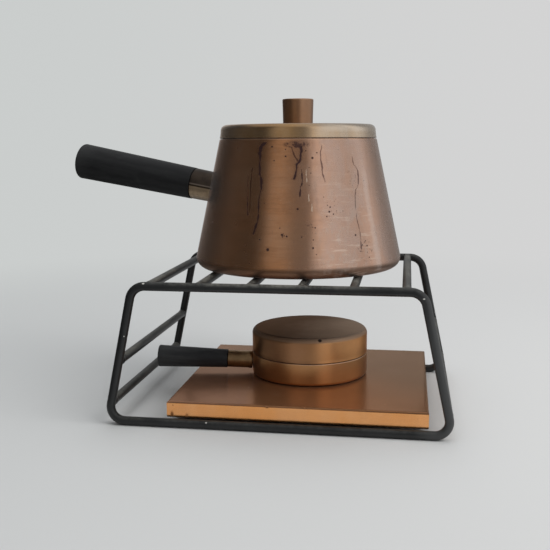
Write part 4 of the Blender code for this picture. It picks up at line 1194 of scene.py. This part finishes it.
pot_copper = copper(
    "pot_copper", clean=(0.66, 0.300, 0.135), brown=(0.42, 0.190, 0.085), pale=(0.63, 0.325, 0.175), dull=(0.60, 0.425, 0.355), dull_film_and_painted_light_amount=0.85,
    roughness=0.19, tarnish=0.5, film=0.07, brush=1.0, brush_lines=1000.0, seed=1.0, specks=0.75, speck_share=0.82, swelling=0.11, relief=0.06, haze=0.10, ripple=0.30, edges=((POT_SEAM - 0.4, 0.8),), extra=pot_marks,
)
lining = tin("tin_lining", 2.0)
outline, inner_count = pot_outline()
pot = lathe("pot_copper_body", outline, at_pot, 192)
dress(pot, [pot_copper, lining], "pot", "copper", "pot_body")


def line_inside(o, outside_r):
    """Gives the faces that look inwards the second material."""
    for f in o.data.polygons:
        c, nrm = f.center / MM, f.normal
        r = math.hypot(c.x, c.y)
        if outside_r(r, c.z, nrm, c):
            f.material_index = 1


line_inside(pot, lambda r, z, nrm, c: (z < POT_SEAM - 0.3) and (nrm.z > 0.5 and r < PR - PE + 2 or (nrm.x * c.x + nrm.y * c.y) < -0.25 * max(r, 1) or (nrm.z > 0.05 and r < PR - 1.0 and z < POT_Z + PE and (nrm.x * c.x + nrm.y * c.y) < 0)))

# the second colour is the painted shade of the ferrule's upper half
ferrule_pot = ferrule_metal("pot_ferrule", (0.60, 0.44, 0.29), (0.030, 0.025, 0.027), -2.0, 8.0)
cot = math.tan(math.radians(slope))


def cope_pot(t, r, z):
    """The ferrule's inner end follows the pot's wall, and its upper half overlaps the lower along a seam."""
    lap = ((math.degrees(t) + 180) % 360) - 180
    upper = -2.0 < lap < 178.0
    if r > FR - 0.5 and upper:
        r = r + 0.16
    if z < 80:
        local = Vector((r * math.cos(t) * MM, r * math.sin(t) * MM, 0))
        low, high = 50.0, 95.0
        for _ in range(30):
            s = (low + high) / 2
            p = (pot_axis @ (local + Vector((0, 0, s * MM)))) / MM
            if math.hypot(p.x - PX, p.y - PY) > PT + (POT_SEAM - p.z) * cot + 0.15:
                high = s
            else:
                low = s
        z = high + (z - 70)
    return r, z


FR = 12.85
fer2 = lathe(
    "pot_handle_sleeve",
    [(11.6, 70.0), (11.6, 72.0), (11.75, 84.0), (11.9, 93.4), (12.4, 93.95), (12.9, 93.8), (13.0, 93.2), (12.98, 91.5), (12.9, 84.0), (12.7, 74.0), (12.65, 71.0), (12.6, 70.3), (12.5, 70.0)],
    pot_axis, 120, closed=True, shape=cope_pot, smooth_angle=35,
)
dress(fer2, ferrule_pot, "pot", "ferrule_metal", "pot_handle_ferrule")
dress(grip("pot_handle_wood", 94.3, 203.4, 13.37, 15.43, 1.9, 3.3, 48, pot_axis, 120), black_grip("pot_grip_black", 203.4, 6.0, 1.1), "pot", "black_grip", "pot_handle_grip")
repaint("pot_handle_stud", steel("pot_stud_steel", seed=3.0))

# ------------------------------------------------------------------ lid
LR, LT, LE, LS = 64.0, 63.35, 4.6, 1.2


def lid_outline():
    flat = LID_TOP - 0.5
    out = [(2.3, LID_TOP - 0.02), (14, LID_TOP - 0.02)]
    out += [((LT - LE) * k / 14, flat + 0.5 * (1 - (k / 14) ** 2)) for k in range(4, 14)]
    out += arc(LT - LE, flat - LE, LE, 90, 3, 14)
    a = Vector((LT + 0.06, flat - LE - 0.6))
    b = Vector((LR, LID_Z))
    out += [tuple(a.lerp(b, t)) for t in (0.0, 0.3, 0.6, 0.76)]
    out += [(LR + 0.02, LID_Z + 1.35), (LR + 0.14, LID_Z + 0.95)]
    out += arc(LR - 0.42, LID_Z + 0.56, 0.56, 10, -90, 7)
    out += [(LR - LS + 0.2, LID_Z), (LR - LS, LID_Z + 0.25), (LR - LS, LID_Z + 1.2)]
    out += arc(LT - LE, flat - LE, LE - LS, 0, 90, 9)
    out += [((LT - LE) * k / 8, flat - LS + 0.5 * (1 - (k / 8) ** 2)) for k in range(7, 1, -1)]
    out += [(14, LID_TOP - LS), (2.3, LID_TOP - LS)]
    return out


def lid_marks(n, parts):
    """Painted shade in the gap at the lid's lower edge, and a painted highlight band round its shoulder at the front
    right.
    """
    # painted highlight band round the shoulder at the front right
    band = n.math("MULTIPLY", n.step(parts["z"], (LID_TOP - 8.0) * MM, (LID_TOP - 4.5) * MM), n.step(parts["angle"], -76.0, -50.0))
    return [(n.math("MULTIPLY", band, 0.45), (0.90, 0.78, 0.66), -0.02, 0.0, 0.0), (n.math("MULTIPLY", n.step(parts["z"], (LID_Z + 0.65) * MM, (LID_Z + 0.30) * MM), 0.60), (0.10, 0.035, 0.026), 0.1, 0.0, 0.0)]


lid_copper = copper(
    "lid_copper", clean=(0.585, 0.318, 0.112), brown=(0.42, 0.225, 0.095), pale=(0.58, 0.36, 0.185), dull=(0.70, 0.58, 0.46), dull_film_and_painted_light_amount=0.80,
    roughness=0.20, tarnish=0.5, film=0.10, relief=0.06, haze=0.16, ripple=0.22, brush=0.4, brush_lines=900.0, seed=21.0, specks=0.2, speck_share=0.92, swelling=0.10, extra=lid_marks,
)
lid = lathe("lid_copper_shell", lid_outline(), at_pot, 176, closed=True)
dress(lid, [lid_copper, lining], "lid", "copper", "lid_shell")
line_inside(lid, lambda r, z, nrm, c: z > LID_Z + 0.3 and (nrm.z < -0.5 or (nrm.x * c.x + nrm.y * c.y) < -0.3 * max(r, 1)))
rlo, rhi = corners("lid_locating_ring")
ring = lathe(
    "lid_inner_ring",
    rounded([(61.1, rlo[2]), (61.1, rhi[2]), (61.9, rhi[2]), (61.9, rlo[2])], [0.3, 0.2, 0.2, 0.3], closed=True, n=4),
    at_pot, 160, closed=True,
)
dress(ring, lining, "lid", "copper", "lid_locating_ring")
knob_copper = copper(
    "knob_copper", clean=(0.42, 0.205, 0.098), brown=(0.30, 0.140, 0.064), pale=(0.40, 0.215, 0.115), dull=(0.44, 0.27, 0.18), dull_film_and_painted_light_amount=0.6,
    roughness=0.38, tarnish=0.4, film=0.08, haze=0.08, brush=0.4, brush_lines=1500.0, seed=27.0, specks=0.1, speck_share=0.94, swelling=0.03, edges=((KNOB_TOP - 0.3, 0.6),),
)
knob = lathe(
    "lid_copper_knob",
    [(0, KNOB_TOP), (6, KNOB_TOP), (11.4, KNOB_TOP - 0.03)]
    + arc(12.7 - 0.9, KNOB_TOP - 0.93, 0.9, 88, 2, 8)
    + [(12.69, KNOB_TOP - 1.5), (12.55, KNOB_TOP - 6), (12.35, KNOB_TOP - 13), (12.22, KNOB_Z + 1.2), (12.2, KNOB_Z + 0.6)]
    + arc(12.2 - 0.4, KNOB_Z + 0.4, 0.4, 0, -90, 4)
    + [(2.6, KNOB_Z), (2.3, KNOB_Z + 0.3), (2.3, KNOB_Z + 12), (0, KNOB_Z + 12)],
    at_pot, 112,
)
dress(knob, knob_copper, "lid", "copper", "lid_knob")
repaint("knob_screw", steel("screw_steel", seed=5.0))
repaint("knob_washer", steel("washer_steel", seed=6.0))

# ------------------------------------------------------------------ floor, light and camera
def floor_disc():
    steps, radii = 96, [0, 0.25, 0.5, 0.8, 1.2, 1.8, 2.6, 3.6, 5.0, 7.0]
    verts, faces = [(0, 0, 0)], []
    for r in radii[1:]:
        verts += [(r * 1000 * math.cos(2 * math.pi * k / steps), r * 1000 * math.sin(2 * math.pi * k / steps), 0) for k in range(steps)]
    for k in range(steps):
        faces.append((0, 1 + k, 1 + (k + 1) % steps))
    for i in range(len(radii) - 2):
        a, b = 1 + i * steps, 1 + (i + 1) * steps
        for k in range(steps):
            m = (k + 1) % steps
            faces.append((a + k, b + k, b + m, a + m))
    o = new_object("floor", verts, faces, Matrix.Translation((CX * MM, 0, -0.00012)), 0)
    n = Nodes("floor_paper")
    x, y, z = n.split(n.coord)
    r = n.math("SQRT", n.math("ADD", n.math("MULTIPLY", x, x), n.math("MULTIPLY", y, y)))
    grain = n.noise(n.coord, 300.0, 4, 0.6)
    # painted light: brighter to the right, like the wall behind
    across = n.step(n.math("ADD", x, n.math("MULTIPLY", y, 0.16)), -0.45, 0.40)
    tone = n.mix(across, (0.600, 0.610, 0.612), (0.700, 0.700, 0.700))
    tone = n.mix(n.math("MULTIPLY", grain, 0.06), tone, (0.5, 0.5, 0.5))
    n.finish(Base_Color=tone, Roughness=0.7, Specular_IOR_Level=0.2)
    away_x = n.math("SUBTRACT", x, CAM_X * MM - CX * MM)
    away_y = n.math("SUBTRACT", y, CAM_Y * MM)
    side = n.math("MULTIPLY", n.math("ARCTAN2", away_x, away_y), 180 / math.pi)
    glow = n.new("Emission", {"Color": wall_tone(n, side), "Strength": 1.0})
    blend = n.new("MixShader", {"Fac": n.step(r, 0.28, 1.0)})
    n.t.links.new(n.bsdf.outputs[0], blend.inputs[1])
    n.t.links.new(glow.outputs[0], blend.inputs[2])
    # in the copper the table looks like the room over it
    turn = n.math("MULTIPLY", n.math("ARCTAN2", x, n.math("MULTIPLY", y, -1.0)), 180 / math.pi)
    room = n.new("Emission", {"Color": (0.98, 1.0, 1.0, 1), "Strength": n.math("MULTIPLY", room_level(n, turn), 0.82)})
    path = n.t.nodes.new("ShaderNodeLightPath")
    shown = n.new("MixShader", {"Fac": n.math("MULTIPLY", path.outputs["Is Glossy Ray"], n.step(r, 0.16, 0.30))})
    n.t.links.new(blend.outputs[0], shown.inputs[1])
    n.t.links.new(room.outputs[0], shown.inputs[2])
    n.t.links.new(shown.outputs[0], n.out.inputs[0])
    o.data.materials.append(n.m)


CAM_X, CAM_Y, CAM_Z = 94.473 + CX, -669.423, 212.628


def wall_tone(n, side):
    """Tone of the wall by the angle from the view's +Y, in degrees to the right."""
    right_of = n.math("MULTIPLY", n.step(side, -30.0, 12.0), n.step(side, 175.0, 90.0))
    return n.mix(right_of, (0.592, 0.612, 0.606), (0.655, 0.655, 0.655))


def room_level(n, turn):
    """Brightness of the room by the angle round the set: 0 towards the camera side (-Y), positive to the right (+X)."""
    return n.curve(
        turn,
        [(-180, 0.42), (-163, 0.50), (-152, 0.27), (-141, 0.11), (-112, 0.040), (-80, 0.080), (-64, 0.078), (-48, 0.066), (-34, 0.16), (-17, 0.40), (2, 0.25), (18, 0.20), (25, 0.62), (33, 0.80), (48, 0.74), (62, 0.68), (73, 0.64), (88, 0.58), (98, 0.74), (114, 0.62), (126, 0.43), (146, 0.26), (166, 0.28), (180, 0.42)],
    )


floor_disc()

world = bpy.data.worlds.new("studio")
bpy.context.scene.world = world
world.use_nodes = True
w = Nodes.__new__(Nodes)
w.m, w.t = world, world.node_tree
w.t.nodes.clear()
direction = w.t.nodes.new("ShaderNodeTexCoord").outputs["Generated"]
x, y, z = w.split(direction)
level = room_level(w, w.math("MULTIPLY", w.math("ARCTAN2", x, w.math("MULTIPLY", y, -1.0)), 180 / math.pi))
overhead = w.step(z, 0.60, 0.97)
under = w.step(z, 0.0, -0.3)
total = w.math("ADD", w.math("MULTIPLY", level, w.math("SUBTRACT", 1.0, overhead)), w.math("MULTIPLY", overhead, 0.50))
total = w.math("ADD", w.math("MULTIPLY", total, w.math("SUBTRACT", 1.0, under)), w.math("MULTIPLY", under, 0.40))
side = w.math("MULTIPLY", w.math("ARCTAN2", x, y), 180 / math.pi)
seen = w.new("Background", {"Color": wall_tone(w, side), "Strength": 1.0})
lit = w.new("Background", {"Color": (0.985, 1.0, 1.0, 1), "Strength": total})
path = w.t.nodes.new("ShaderNodeLightPath")
pick = w.new("MixShader", {"Fac": path.outputs["Is Camera Ray"]})
w.t.links.new(lit.outputs[0], pick.inputs[1])
w.t.links.new(seen.outputs[0], pick.inputs[2])
w.t.links.new(pick.outputs[0], w.t.nodes.new("ShaderNodeOutputWorld").inputs[0])


def area_light(name, at, target, size, power, colour=(1, 1, 1)):
    data = bpy.data.lights.new(name, "AREA")
    data.shape = "RECTANGLE"
    data.size, data.size_y = size
    data.energy = power
    data.color = colour
    o = bpy.data.objects.new(name, data)
    bpy.context.scene.collection.objects.link(o)
    o.location = at
    o.rotation_euler = (Vector(target) - Vector(at)).to_track_quat("-Z", "Y").to_euler()
    o.visible_glossy = False
    return o


area_light("soft_key", (1.5, -0.7, 1.7), (0.03, 0, 0.08), (1.4, 1.1), 19.0, (1.0, 0.985, 0.96))
area_light("soft_top", (0.1, 0.3, 2.4), (0.03, 0, 0.05), (2.2, 2.2), 26.0, (0.965, 0.985, 1.0))

camera_data = bpy.data.cameras.new("camera")
camera = bpy.data.objects.new("camera", camera_data)
bpy.context.scene.collection.objects.link(camera)
camera_data.sensor_width = 36.0
camera_data.lens = 53.74
camera_data.clip_start = 0.01
camera_data.clip_end = 100.0
YAW, PITCH, ROLL = -0.16056, 0.15903, -0.00581
forward = Vector((math.sin(YAW) * math.cos(PITCH), math.cos(YAW) * math.cos(PITCH), -math.sin(PITCH)))
right = Vector((math.cos(YAW), -math.sin(YAW), 0))
above = right.cross(forward)
cam_x = right * math.cos(ROLL) + above * math.sin(ROLL)
cam_y = -right * math.sin(ROLL) + above * math.cos(ROLL)
pose = Matrix((cam_x, cam_y, -forward)).transposed().to_4x4()
pose.translation = Vector((CAM_X, CAM_Y, CAM_Z)) * MM
camera.matrix_world = pose
bpy.context.scene.camera = camera
bpy.context.scene.view_settings.view_transform = "Standard"
bpy.context.scene.view_settings.look = "None"
